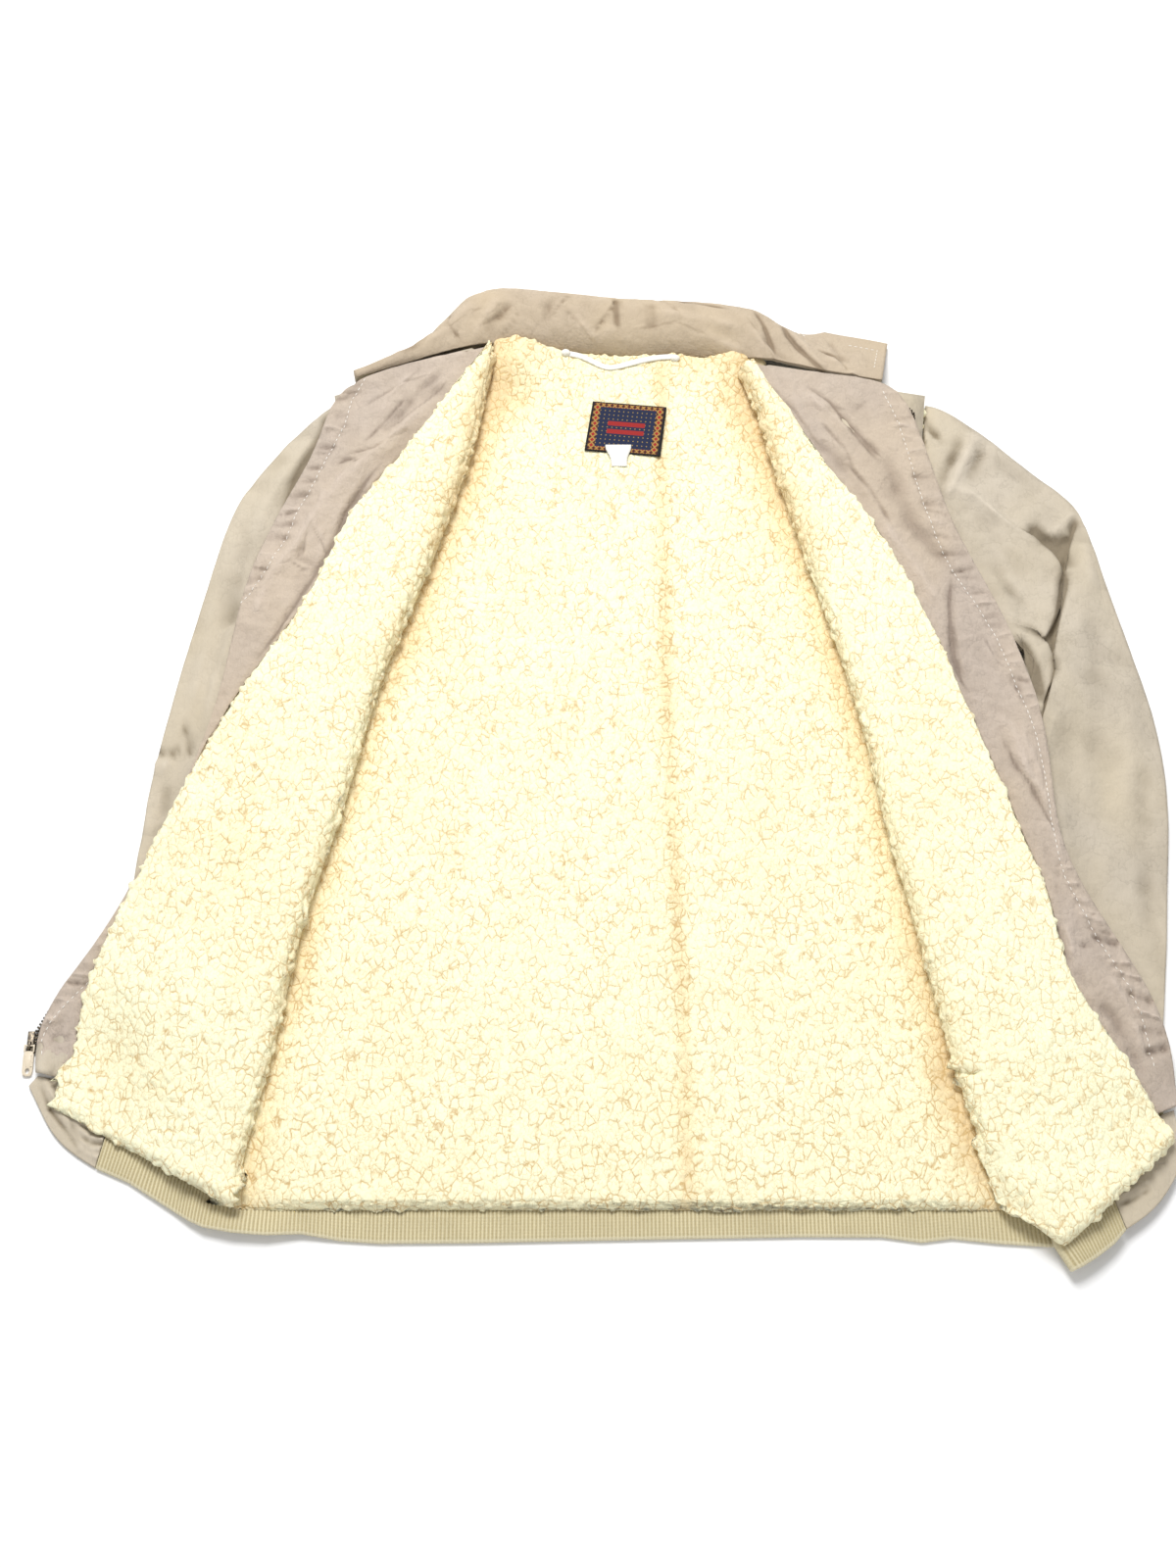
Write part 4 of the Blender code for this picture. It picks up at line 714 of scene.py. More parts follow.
# Where the fronts are folded back over themselves, from the neck to the hem.
rightFold = (
    (-99, 337.5), (-101, 306), (-114, 240), (-132, 178), (-154, 112),
    (-173.5, 48), (-187, -15), (-206, -84), (-219, -154), (-231, -218), (-240, -282),
)
leftFold = (
    (85, 323), (88, 295), (101.5, 233), (116, 177), (134, 111), (149, 48),
    (159.2, -15), (173.5, -85), (186, -152), (199, -216), (220, -280), (246, -306),
)
neckLine = ((-100, 342), (-60, 344), (0, 338), (30, 340.5), (90, 327))
middleBand = ((22.1, 330), (22.1, 248), (22.7, 68.1), (26.8, -74.4), (30.6, -205.4), (29.3, -278.8))
# The warm bands of each pile are painted shade beside its folds, under the collar, at the notch by the left
# fold and in the middle trough; broader ones warm the pile towards the hem and on the right front.
piles = {
    "backPile": {
        "node": "back_lining", "slot": "pile", "flat": (0.536, 0.624), "area": 0.300, "held": "laid",
        "restsOn": ["backShell"], "curl": 6.4 * mm, "high": 0.95 * mm, "edge": 2.4, "seed": 1.7,
        "longest": 2.6 * mm,
        "warmShades": (
            {"line": rightFold, "wide": 11 * mm, "share": 0.55, "side": 1},
            {"line": rightFold[:5], "wide": 16 * mm, "share": 0.30, "side": 1},
            {"line": rightFold, "wide": 46 * mm, "share": 0.16, "side": 1},
            {"line": leftFold, "wide": 11 * mm, "share": 0.60, "side": -1},
            {"line": leftFold[:4], "wide": 16 * mm, "share": 0.25, "side": -1},
            {"line": leftFold, "wide": 46 * mm, "share": 0.18, "side": -1},
            {"line": ((193, -200), (200, -230), (207, -255)), "wide": 15 * mm, "share": 0.60},
            {"line": ((-105, 330), (-85, 300)), "wide": 24 * mm, "share": 0.55},
            {"line": ((90, 315), (80, 295)), "wide": 22 * mm, "share": 0.50},
            {"line": neckLine, "wide": 22 * mm, "share": 0.34},
            {"line": middleBand, "wide": 6 * mm, "share": 0.62, "fall": 2.0},
            {"line": ((-200, -270), (210, -290)), "wide": 60 * mm, "share": 0.20},
        ),
        "folds": (
            stroke(-1.1, 2.2, 0.6, (-95.9, -193), (-98.4, -220.2), (-100.8, -251.7), (-101.7, -274.9)),
            stroke(-0.9, 5.0, 0.0, *middleBand),
            stroke(0.9, 9.0, 0.0, (8, 240), (6, 100), (9, -50), (8, -220)),
            stroke(0.8, 12.0, 0.0, (56, 260), (60, 130), (70, 10), (76, -150)),
            stroke(-0.7, 10.0, 0.0, (-60, 230), (-64, 80), (-70, -80), (-50, -240)),
        ),
    },
    "rightFrontPile": {
        "node": "front_lining_right", "side": "right", "slot": "pile", "flat": (0.245, 0.560),
        "area": 0.1000, "held": "folded", "restsOn": ["rightFrontShell"], "fullness": 15 * mm,
        "curl": 7.0 * mm, "high": 1.25 * mm, "edge": 2.2, "seed": 4.1, "longest": 2.3 * mm,
        "warmShades": (
            {"line": rightFold, "wide": 12 * mm, "share": 0.35, "fall": 1.2},
            {"line": rightFold[:4], "wide": 16 * mm, "share": 0.45},
            {"line": ((-270, 30), (-250, -20), (-260, -80)), "wide": 26 * mm, "share": 0.30},
            {"line": ((-330, -190), (-280, -210)), "wide": 24 * mm, "share": 0.22},
        ),
        "folds": (
            stroke(-1.2, 9.0, 0.0, (-220, 60), (-240, 0), (-250, -70), (-270, -130)),
            stroke(1.0, 12.0, 0.0, (-200, 110), (-215, 40), (-220, -40)),
        ),
    },
    "leftFrontPile": {
        "node": "front_lining_left", "side": "left", "slot": "pile", "flat": (0.255, 0.570),
        "area": 0.1040, "held": "folded", "restsOn": ["leftFrontShell"],
        "curl": 7.0 * mm, "high": 1.15 * mm, "edge": 2.2, "seed": 7.3, "longest": 2.3 * mm,
        "warmShades": (
            {"line": leftFold, "wide": 10 * mm, "share": 0.30, "fall": 1.2},
            {"line": leftFold[:4], "wide": 16 * mm, "share": 0.40},
        ),
        "folds": (
            stroke(-1.1, 9.0, 0.0, (165, 100), (185, 30), (195, -50), (215, -130)),
            stroke(0.9, 12.0, 0.0, (200, 30), (220, -60), (240, -140), (260, -200)),
            stroke(-3.0, 3.2, 0.5, (192, -198), (202, -204), (212, -206)),
        ),
    },
}


# Beside the folds the back's pile climbs to the collar, so that no gap is left between them.
neckFill = {"up": 7 * mm, "out": 4 * mm, "lift": 9 * mm, "right": (0.040, 0.078), "left": (0.050, 0.080),
            "end": (0.093, 0.104), "moveFrom": (0.312, 0.335), "liftFrom": (0.300, 0.336)}


def fillNeck(piece):
    fill = neckFill
    places, _ = readPoints(piece)
    x, y = places[:, 0], places[:, 1].copy()
    climb = np.where(x < 0, smoothStep(-x, *fill["right"]), smoothStep(x, *fill["left"]))
    climb *= 1.0 - smoothStep(abs(x), *fill["end"])
    places[:, 1] += fill["up"] * climb * smoothStep(y, *fill["moveFrom"])
    places[:, 2] += fill["lift"] * climb * smoothStep(places[:, 1], *fill["liftFrom"])
    places[:, 0] += np.sign(x) * fill["out"] * climb * smoothStep(places[:, 1], *fill["moveFrom"])
    writePoints(piece, places)


# At the neck the seam between pile and facing runs in to the fold: points move sideways by "shift"
# at the top, less towards the places named in "fade".
neckTurn = {
    "right": {"shift": 15 * mm, "low": 0.303, "high": 0.343,
              "fade": ((-0.160, 0.0), (-0.120, 1.0), (-0.112, 1.0), (-0.098, 0.15))},
    "left": {"shift": -18 * mm, "low": 0.285, "high": 0.330,
             "fade": ((0.070, 0.5), (0.088, 0.6), (0.112, 1.0), (0.165, 0.0))},
    "upperLeaf": (11 * mm, 13 * mm),
}


def turnNeck(piece, side):
    turn = neckTurn[side]
    places, _ = readPoints(piece)
    share = np.clip((places[:, 1] - turn["low"]) / (turn["high"] - turn["low"]), 0.0, 1.0)
    share *= np.interp(places[:, 0], *zip(*turn["fade"])) * smoothStep(places[:, 2], *neckTurn["upperLeaf"])
    places[:, 0] += turn["shift"] * share
    writePoints(piece, places)


# The right front's lower corner sinks towards the hem tab, and its pile is full at the corner.
frontCorner = {"outFrom": (0.290, 0.335), "downFrom": (0.140, 0.200), "lowest": 3.2 * mm, "rest": 1.9 * mm,
               "sink": 0.55, "fullAt": -0.2035, "fullWide": 12 * mm, "fullFrom": (0.322, 0.345),
               "fullLift": 0.12}


def sinkCorner(piece, fullness=0.0):
    corner = frontCorner
    places, _ = readPoints(piece)
    x, y, z = places.T
    share = smoothStep(-x, *corner["outFrom"]) * smoothStep(-y, *corner["downFrom"])
    share *= z > corner["lowest"]
    places[:, 2] -= corner["sink"] * share * (z - corner["rest"])
    full = fullness * np.exp(-((y - corner["fullAt"]) / corner["fullWide"]) ** 2)
    full *= smoothStep(-x, *corner["fullFrom"])
    places[:, 0] -= full
    places[:, 2] += corner["fullLift"] * full
    writePoints(piece, places)


# The pile's cut edge at the hem is rounded and reaches out over the rib.
hemRound = {"below": -0.150, "out": 5.0 * mm, "turn": 2.2, "inside": 2.5 * mm, "thinnest": mm}


def roundHem(piece):
    places, normals = readPoints(piece)
    tree = treeOf([piece.data])
    walls = (normals[:, 1] < -0.3) & (np.abs(normals[:, 2]) < 0.8) & (places[:, 1] < hemRound["below"])
    for index in np.nonzero(walls)[0]:
        inner = Vector(places[index] - normals[index] * hemRound["inside"])
        top, bottom = (tree.ray_cast(inner, Vector((0, 0, way)))[0] for way in (1, -1))
        if top is None or bottom is None or top.z - bottom.z < hemRound["thinnest"]:
            continue
        share = np.clip((top.z - places[index][2]) / (top.z - bottom.z), 0.0, 1.0)
        places[index, :2] += normals[index][:2] * hemRound["out"] * math.sin(hemRound["turn"] * share)
    writePoints(piece, places)


# Pile has soft rims, is cut across where its cage is wide, and takes creases on its upper side only.
pileCut = {"rim": 0.7, "wide": 30 * mm, "creaseFrom": (3 * mm, 8 * mm)}


def makePile(name):
    settings = piles[name]
    cage = clothCage(settings["node"], pileCut["rim"])
    wide = [e for e in cage.edges if abs(e.verts[0].co.x - e.verts[1].co.x) > pileCut["wide"]]
    bmesh.ops.subdivide_edges(cage, edges=wide, cuts=3, use_grid_fill=True)
    piece = pieceFrom(cage, name)
    smoothCloth(piece, 3)
    refineShown(piece, settings["longest"])
    paintWarmShade(piece, settings["warmShades"])
    pressStrokes(piece, settings["folds"], lambda places: smoothStep(places[:, 2], *pileCut["creaseFrom"]))
    if name == "backPile":
        fillNeck(piece)
    else:
        turnNeck(piece, settings["side"])
    if name == "rightFrontPile":
        sinkCorner(piece, settings["fullness"])
    roundHem(piece)
    raiseCurls(piece, settings)
    layCloth(piece, settings)


for name in piles:
    makePile(name)
print("pile raised")

# Creases pressed into both fronts, heights and half widths in millimetres.
rightStrokes = (
    stroke(-0.8, 1.4, 0.6, (-204.6, 246.4), (-181.4, 252.6), (-155.9, 268.2), mark=1.1),
    stroke(-0.9, 1.4, 0.6, (-159.5, 296.5), (-174.5, 274.4), (-189.4, 255.7), mark=1.3),
    stroke(-0.7, 1.3, 0.6, (-190.8, 287), (-165.2, 306.1), (-144.3, 315.7), mark=0.9),
    stroke(-0.8, 1.5, 0.6, (-194.7, 205.4), (-175.1, 229.7), (-152.8, 257.5), (-127.7, 295.1), mark=1.2),
    stroke(2.6, 5.0, 0.5, (-138.5, 298.1), (-151.7, 283.5), (-171.8, 258.3), (-189.1, 240.4),
           (-208.8, 215.8), (-222.4, 193.2), (-230.1, 174.3), (-246.2, 148.9), (-259.1, 123.8)),
    stroke(-2.0, 2.8, 0.6, (-176, 240), (-183.4, 229.6), (-197.8, 201.8), (-204.5, 178.1),
           (-212.8, 158.3), (-226.6, 129.8), (-238.8, 103.6), (-251.2, 82.9)),
    stroke(-1.5, 4.5, 0.2, (-135.1, 309), (-150.5, 287.7), (-164.4, 274.3), (-175.6, 264.3)),
    stroke(-1.4, 2.8, 0.7, (-134.5, 318.4), (-149.3, 303.6), (-163.7, 281.7), (-172.5, 274.5)),
    stroke(1.3, 3.0, 0.4, (-143.9, 325.8), (-131.8, 331.4), (-116.5, 333.2)),
    stroke(1.4, 3.6, 0.4, (-156, 317), (-168, 300), (-179, 280)),
    stroke(-1.2, 2.2, 0.7, (-205.5, 240.4), (-199.7, 244), (-190.7, 242.2)),
    stroke(1.1, 2.2, 0.7, (-208.9, 219.3), (-202, 229.8), (-197.9, 236.9)),
    stroke(1.2, 2.2, 0.7, (-219.5, 222.8), (-214.7, 215.8), (-219.8, 200.1)),
    stroke(1.1, 2.2, 0.7, (-220.8, 191.5), (-214.4, 181.1), (-213.7, 169.2)),
    stroke(-1.2, 2.2, 0.7, (-224.9, 186.3), (-225.7, 174.3), (-229.5, 162.4), (-211.5, 153.9)),
    stroke(1.3, 2.6, 0.6, (-248, 139), (-253.5, 127.1), (-255.4, 112.2)),
    stroke(1.2, 2.6, 0.6, (-227.4, 127.1), (-235, 108.9), (-244.2, 94.2)),
    stroke(0.9, 2.0, 0.6, (-212.8, 289.3), (-211.4, 276.5)),
    stroke(1.6, 3.0, 0.6, (-372.6, -174.7), (-369.4, -184.7), (-370.9, -196.1), (-366.7, -210.1),
           (-359.8, -224.1)),
    stroke(-1.2, 2.4, 0.6, (-368.7, -179), (-360.6, -178.3), (-353.7, -178.3)),
    stroke(1.5, 2.8, 0.5, (-357.7, -153.1), (-363.4, -164.7), (-370.7, -173.3)),
    stroke(1.2, 2.4, 0.5, (-361.3, -204), (-353.4, -218), (-342.8, -232.4)),
    stroke(1.2, 2.2, 0.6, (-341, -224), (-335.1, -231.2), (-327.9, -238.7)),
    stroke(-1.0, 2.0, 0.6, (-338.8, -238.4), (-331.6, -243.9)),
    stroke(1.0, 2.0, 0.6, (-342, -246), (-330.9, -250.8)),
)
leftStrokes = (
    stroke(-1.0, 1.5, 0.6, (124.3, 308), (143.3, 290.6), (160.2, 262.3), (175.8, 239.2), mark=1.5),
    stroke(-0.8, 1.4, 0.6, (96.5, 309.8), (116.6, 286), (133.5, 254.8), mark=1.1),
    stroke(-0.7, 1.3, 0.6, (127.8, 298.5), (145.4, 281.1), (155.9, 281.1), (169.7, 293.7), mark=1.0),
    stroke(-0.9, 1.5, 0.6, (151.1, 242.4), (167.9, 218), (181.5, 187.9), mark=1.3),
    stroke(-0.8, 1.3, 0.6, (134.5, 276.6), (151.6, 251.7), (158.2, 230.2), mark=1.0),
    stroke(-1.8, 2.6, 0.8, (147.9, 281.7), (161.4, 264.5), (177, 244.6)),
    stroke(2.0, 4.0, 0.3, (124.7, 300.5), (136.3, 288.9), (156.7, 265.9)),
    stroke(-1.2, 4.0, 0.3, (122, 268), (143, 248), (157, 225), (168, 198)),
    stroke(-2.0, 5.0, 0.3, (177, 245.1), (182.1, 236.3), (194.1, 193.1), (205.7, 176.2),
           (215.4, 159.3), (218.4, 146.8)),
    stroke(-1.2, 7.0, 0.1, (174, 226), (190, 200), (206, 172)),
    stroke(1.8, 4.5, 0.3, (174.1, 194.1), (182.8, 174.9), (194.7, 155.9), (203.2, 137.1), (211.9, 122.3)),
    stroke(-2.1, 3.0, 0.6, (218.4, 147.8), (216.3, 129.1), (215.5, 106.9), (215.5, 85.1), (220.2, 61.7),
           (222.9, 56.3)),
    stroke(1.3, 2.4, 0.7, (237, 94.2), (242.4, 81.5), (248.3, 76)),
    stroke(1.0, 2.2, 0.6, (218, 97.8), (226.2, 99.6), (232.6, 99.6)),
    stroke(-1.2, 2.2, 0.7, (249.3, 68.9), (255, 61.7), (260, 45.7)),
    stroke(1.1, 2.2, 0.6, (222.9, 56.3), (228.9, 51), (233.7, 52.8)),
    stroke(2.0, 3.5, 0.4, (235.4, 42.1), (248.3, 31.9), (252, 21.7), (256.6, -3.3),
           (266.5, -18.2), (269.6, -45)),
    stroke(-1.5, 2.6, 0.6, (242, 24.3), (250.3, 1.7), (258.2, -10.8), (265.4, -30.4), (272.5, -49.9)),
    stroke(1.4, 2.4, 0.6, (256.7, 37), (257.6, 21.7), (263.8, 1.7), (267, -13.2)),
    stroke(1.6, 3.0, 0.5, (265.2, -32.9), (272.3, -52.3), (273, -69.1), (265.9, -85.7)),
    stroke(-1.3, 2.4, 0.6, (273.6, -61.9), (270.1, -76.3), (266.8, -88.1)),
    stroke(1.6, 2.8, 0.6, (271.6, -106.9), (275.1, -127.7), (276.1, -139.2)),
    stroke(-1.3, 3.0, 0.5, (266, -99.5), (269.9, -127.4), (282.8, -150.2)),
    stroke(-1.8, 4.0, 0.4, (287.1, -154.1), (298.4, -169.9), (308.6, -194.4), (312.7, -205.4)),
    stroke(-1.5, 2.0, 0.7, (278.8, -123.1), (289.8, -120.8)),
    stroke(1.4, 2.6, 0.6, (296, -138), (308, -162), (315, -190)),
    stroke(1.2, 2.4, 0.5, (284.3, -270.2), (299.4, -267.5), (313.9, -255)),
    stroke(-1.0, 2.2, 0.5, (299.3, -260.4), (301.8, -269.3), (310.9, -273.7)),
)

# The fronts' edges and the topstitch lines inside them, with the stretches where puckers run from
# one to the other: from and to a height in plan, their spacing and how high they stand.
edges = {
    "right": ((-198.5, 312.5), (-214, 290), (-220, 262), (-230, 234), (-243.5, 206),
              (-253, 178), (-263, 144), (-267, 114), (-276, 49), (-296, -15),
              (-326.5, -84.5), (-345.5, -119.5), (-365.5, -148), (-374.5, -172), (-375.2, -187)),
    "left": ((187.5, 308.5), (200, 286), (206, 262), (212.5, 233), (219, 208), (227.5, 179),
             (240, 145), (252, 113), (261.5, 81), (269, 50), (272.3, 18),
             (272.6, -15), (273.5, -50), (286.8, -85), (307, -119), (323.5, -150),
             (331.5, -178), (332.5, -202)),
}
seams = {
    "rightUpper": ((-189.4, 312.4), (-198.5, 294), (-202.8, 272.2), (-213.6, 247.1), (-224.1, 220.6),
                   (-233.3, 199.6), (-238.1, 180.7), (-248.4, 156.8), (-259, 133), (-265.2, 124.9)),
    "rightLower": ((-336.7, -113.4), (-346.4, -141.4), (-355.1, -151.6), (-363.5, -163.2),
                   (-370.6, -174), (-372, -180.4), (-370.2, -190.4)),
    "left": ((180.4, 301.2), (189.2, 277.8), (193.8, 257.6), (197.6, 237.7), (203.3, 210.2),
             (211.1, 179.3), (220.6, 150.9), (234.7, 122.8), (245.6, 97.1), (254.2, 66.3),
             (260.3, 44.9), (265, 25), (268.2, -5), (269.5, -39.7), (271.7, -61.5),
             (274.7, -75.8), (285.4, -101.8), (298.1, -127.4), (310.8, -150.2), (316.9, -172.8),
             (320, -200)),
}
puckers = {
    "right": (
        {"seam": "rightUpper", "from": 308, "to": 128, "gap": 8.5, "high": 1.2, "seed": 3},
        {"seam": "rightLower", "from": -118, "to": -185, "gap": 8.0, "high": 1.0, "seed": 5},
    ),
    "left": (
        {"seam": "left", "from": 300, "to": 40, "gap": 10.5, "high": 1.1, "seed": 7},
        {"seam": "left", "from": -70, "to": -190, "gap": 8.5, "high": 1.7, "seed": 9},
    ),
}

# Gathers of the right hem tab, which run into the rib's end seam.
rightTabStrokes = (
    stroke(1.1, 1.8, 0.6, (-324, -236.4), (-335.2, -234), (-346, -227.5)),
    stroke(-0.8, 1.4, 0.6, (-324.5, -239.6), (-336, -237), (-344, -232), mark=1.8),
    stroke(1.1, 1.8, 0.6, (-325, -242.7), (-337.7, -240.4), (-344, -235)),
    stroke(-0.8, 1.4, 0.6, (-326.2, -245.2), (-336, -244), (-342, -240), mark=1.8),
    stroke(1.1, 1.8, 0.6, (-326.8, -248), (-333.8, -248.6), (-343, -242.5)),
    stroke(1.0, 1.8, 0.6, (-327.6, -255.2), (-336.7, -250.9), (-344, -246)),
    stroke(-0.6, 1.6, 0.6, (-375.7, -185.4), (-366.2, -201.6), (-353.2, -222.4), (-342.4, -244.6),
           mark=1.8),
    stroke(0.9, 2.4, 0.5, (-370, -202), (-359, -219), (-348, -234)),
    stroke(-0.8, 1.4, 0.6, (-371.4, -206.1), (-362.5, -223.7), (-350.2, -238), (-341.3, -250.5),
           mark=1.8),
)
# Folds of the left hem tab, which the front pulls up.
leftTabStrokes = (
    stroke(1.0, 2.0, 0.5, (284.9, -272.8), (296.2, -269.1), (308.7, -255.5)),
    stroke(-0.8, 1.5, 0.6, (285.5, -275.5), (298, -271.5), (311, -260), mark=1.6),
    stroke(0.9, 2.0, 0.5, (287.8, -280.2), (299.2, -275.3), (312.2, -267.9)),
    stroke(-0.8, 1.5, 0.6, (289, -285), (300, -281), (312, -274), mark=1.4),
)


# How far across a line is at one height in plan.
def atHeight(line, y):
    low = line[::-1]
    return float(np.interp(y, [p[1] for p in low], [p[0] for p in low]))


# A pucker runs from the edge to the topstitch and a third of its length past it.
def makePuckers(side, row):
    dice = random.Random(row["seed"])
    y = row["from"]
    folds = []
    while y > row["to"]:
        lean = dice.uniform(-3.5, 4.5)
        inner = (atHeight(seams[row["seam"]], y + lean), y + lean)
        outer = (atHeight(edges[side], y), y)
        past = (1.35 * inner[0] - 0.35 * outer[0], inner[1] + 0.5 * lean)
        up = row["high"] * dice.uniform(0.5, 1.4) * dice.choice((1, -1))
        folds.append(stroke(up, dice.uniform(1.5, 2.6), 0.5, outer, inner, past))
        y -= row["gap"] * dice.uniform(0.5, 1.5)
    return folds


def frontFolds(side):
    folds = list(rightStrokes if side == "right" else leftStrokes)
    for row in puckers[side]:
        folds += makePuckers(side, row)
    for name, line in seams.items():
        if name.startswith(side):
            folds.append(stroke(-0.45, 1.3, 0.2, *line))
    return folds


frontPresses = {"right": frontFolds("right"), "left": frontFolds("left")}


# Where creases are taken: the heights, or distances from the middle, between which they grow to full.
creaseFrom = {"upperLeaf": (12.4 * mm, 13.6 * mm), "beyondBody": (0.270, 0.276),
              "topPanel": (2.0 * mm, 2.8 * mm), "tabTop": (0.6 * mm, 1.4 * mm),
              "collarTop": (7 * mm, 13 * mm)}


# Only the upper leaf of a front takes its creases: it is higher than the lower one over the body
# and the only one beyond it.
def upperLeaf(places):
    return np.maximum(smoothStep(places[:, 2], *creaseFrom["upperLeaf"]),
                      smoothStep(abs(places[:, 0]), *creaseFrom["beyondBody"]))


def topPanel(places):
    return smoothStep(places[:, 2], *creaseFrom["topPanel"])


def tabTop(places):
    return smoothStep(places[:, 2], *creaseFrom["tabTop"])


def collarTop(places):
    return smoothStep(places[:, 2], *creaseFrom["collarTop"])


def everywhere(places):
    return np.ones(len(places))


# The collar's roll stands highest at its right corner: place across and rise, above the neck seam.
collarRoll = {"from": (0.345, 0.378),
              "rise": ((-0.152, 0.0), (-0.119, 9 * mm), (-0.098, 7 * mm), (-0.060, 5 * mm),
                       (0.090, 4 * mm), (0.106, 0.0))}


def raiseCollar(piece):
    places, _ = readPoints(piece)
    rise = np.interp(places[:, 0], *zip(*collarRoll["rise"]))
    places[:, 1] += rise * smoothStep(places[:, 1], *collarRoll["from"])
    writePoints(piece, places)


# Creases of the sleeves' upper panels and of the rolled collar.
sleeveStrokes = {
    "leftSleeve": (
        stroke(3.0, 4.6, 0.4, (220, 218), (224.1, 226.2), (231.3, 237.2), (240.1, 254.8), (249, 276)),
        stroke(-2.4, 4.0, 0.3, (216, 218), (218.2, 226), (223.5, 240), (232, 258), (238, 274)),
        stroke(-2.6, 4.4, 0.3, (237, 233), (244, 247), (250, 261), (256, 274)),
        stroke(2.8, 4.2, 0.5, (217.8, 217.3), (227.7, 227.8), (232.1, 224.5), (244.4, 216.9),
               (254.4, 203.9), (266.4, 193.2), (281.3, 185.8)),
        stroke(-1.2, 8.0, 0.1, (232, 210), (248, 198), (264, 182)),
        stroke(-3.2, 5.0, 0.1, (276, 196), (286, 187), (295, 179), (301, 170), (303, 156), mark=0.9),
        stroke(-2.6, 4.6, 0.1, (290, 176), (299, 180), (306, 187), (313, 204), mark=0.8),
        stroke(1.6, 2.4, 0.6, (286, 187), (294, 190), (301.6, 196), (312.9, 208.9)),
        stroke(-2.6, 4.0, 0.3, (300, 160), (299, 154), (296.5, 142), (292.5, 128), (286.7, 110.8),
               (283.8, 98)),
        stroke(-3.4, 4.5, 0.3, (260, 101), (264, 94), (270, 80), (272.5, 66), (272, 50)),
        stroke(1.8, 2.0, 0.6, (264.7, 84.5), (268.4, 86.5), (270.8, 82.4), (268.7, 79.4)),
        stroke(-1.8, 2.6, 0.6, (204.1, 286.8), (212.4, 284.5), (219.1, 273.3), (223, 264)),
        stroke(-1.4, 2.2, 0.6, (208.3, 278.9), (215.5, 275.5), (219.8, 268.8)),
        stroke(1.3, 4.0, 0.2, (315.3, 181.6), (316.5, 160.6), (319.5, 141.6)),
        stroke(1.2, 6.0, 0.1, (300, 100), (311.9, 137.3), (315.4, 166.3)),
        stroke(-1.2, 7.0, 0.1, (318, 118), (312, 60), (306, 10)),
        stroke(1.6, 8.0, 0.1, (335, 90), (332, 30), (320, -40)),
        stroke(1.4, 7.0, 0.1, (296, 30), (300, -30), (312, -80)),
        stroke(-1.2, 6.0, 0.2, (338, 10), (333, -60), (328, -120)),
        stroke(1.2, 5.0, 0.3, (230, 282), (248, 270), (264, 256)),
        stroke(-1.0, 6.0, 0.2, (256, 256), (280, 233), (298, 218)),
        stroke(1.2, 5.0, 0.2, (242, 190), (256, 170), (264, 148)),
        stroke(-1.0, 4.0, 0.3, (250, 160), (262, 138), (276, 124)),
    ),
    "rightSleeve": (
        stroke(1.8, 6.0, 0.2, (-222, 276), (-240, 246), (-256, 212), (-264, 176)),
        stroke(-1.4, 5.0, 0.3, (-224, 260), (-238, 230), (-250, 200)),
        stroke(1.5, 7.0, 0.1, (-270, 230), (-279, 190), (-284, 140)),
        stroke(-1.2, 6.0, 0.2, (-264, 190), (-272, 140), (-278, 90)),
        stroke(1.8, 6.0, 0.2, (-286, 150), (-290, 100), (-298, 40)),
        stroke(1.4, 4.0, 0.4, (-272, 118), (-282, 76), (-286, 36)),
        stroke(2.6, 3.4, 0.6, (-332, 16), (-320, 12), (-306, 10)),
        stroke(-2.4, 3.0, 0.6, (-326, 24), (-314, 21), (-300, 22)),
        stroke(-1.6, 3.0, 0.5, (-302, 42), (-296, 30), (-294, 16)),
        stroke(1.4, 5.0, 0.2, (-318, -6), (-318, -40), (-320, -80)),
        stroke(-1.2, 4.0, 0.3, (-308, 0), (-308, -30), (-312, -60)),
    ),
}
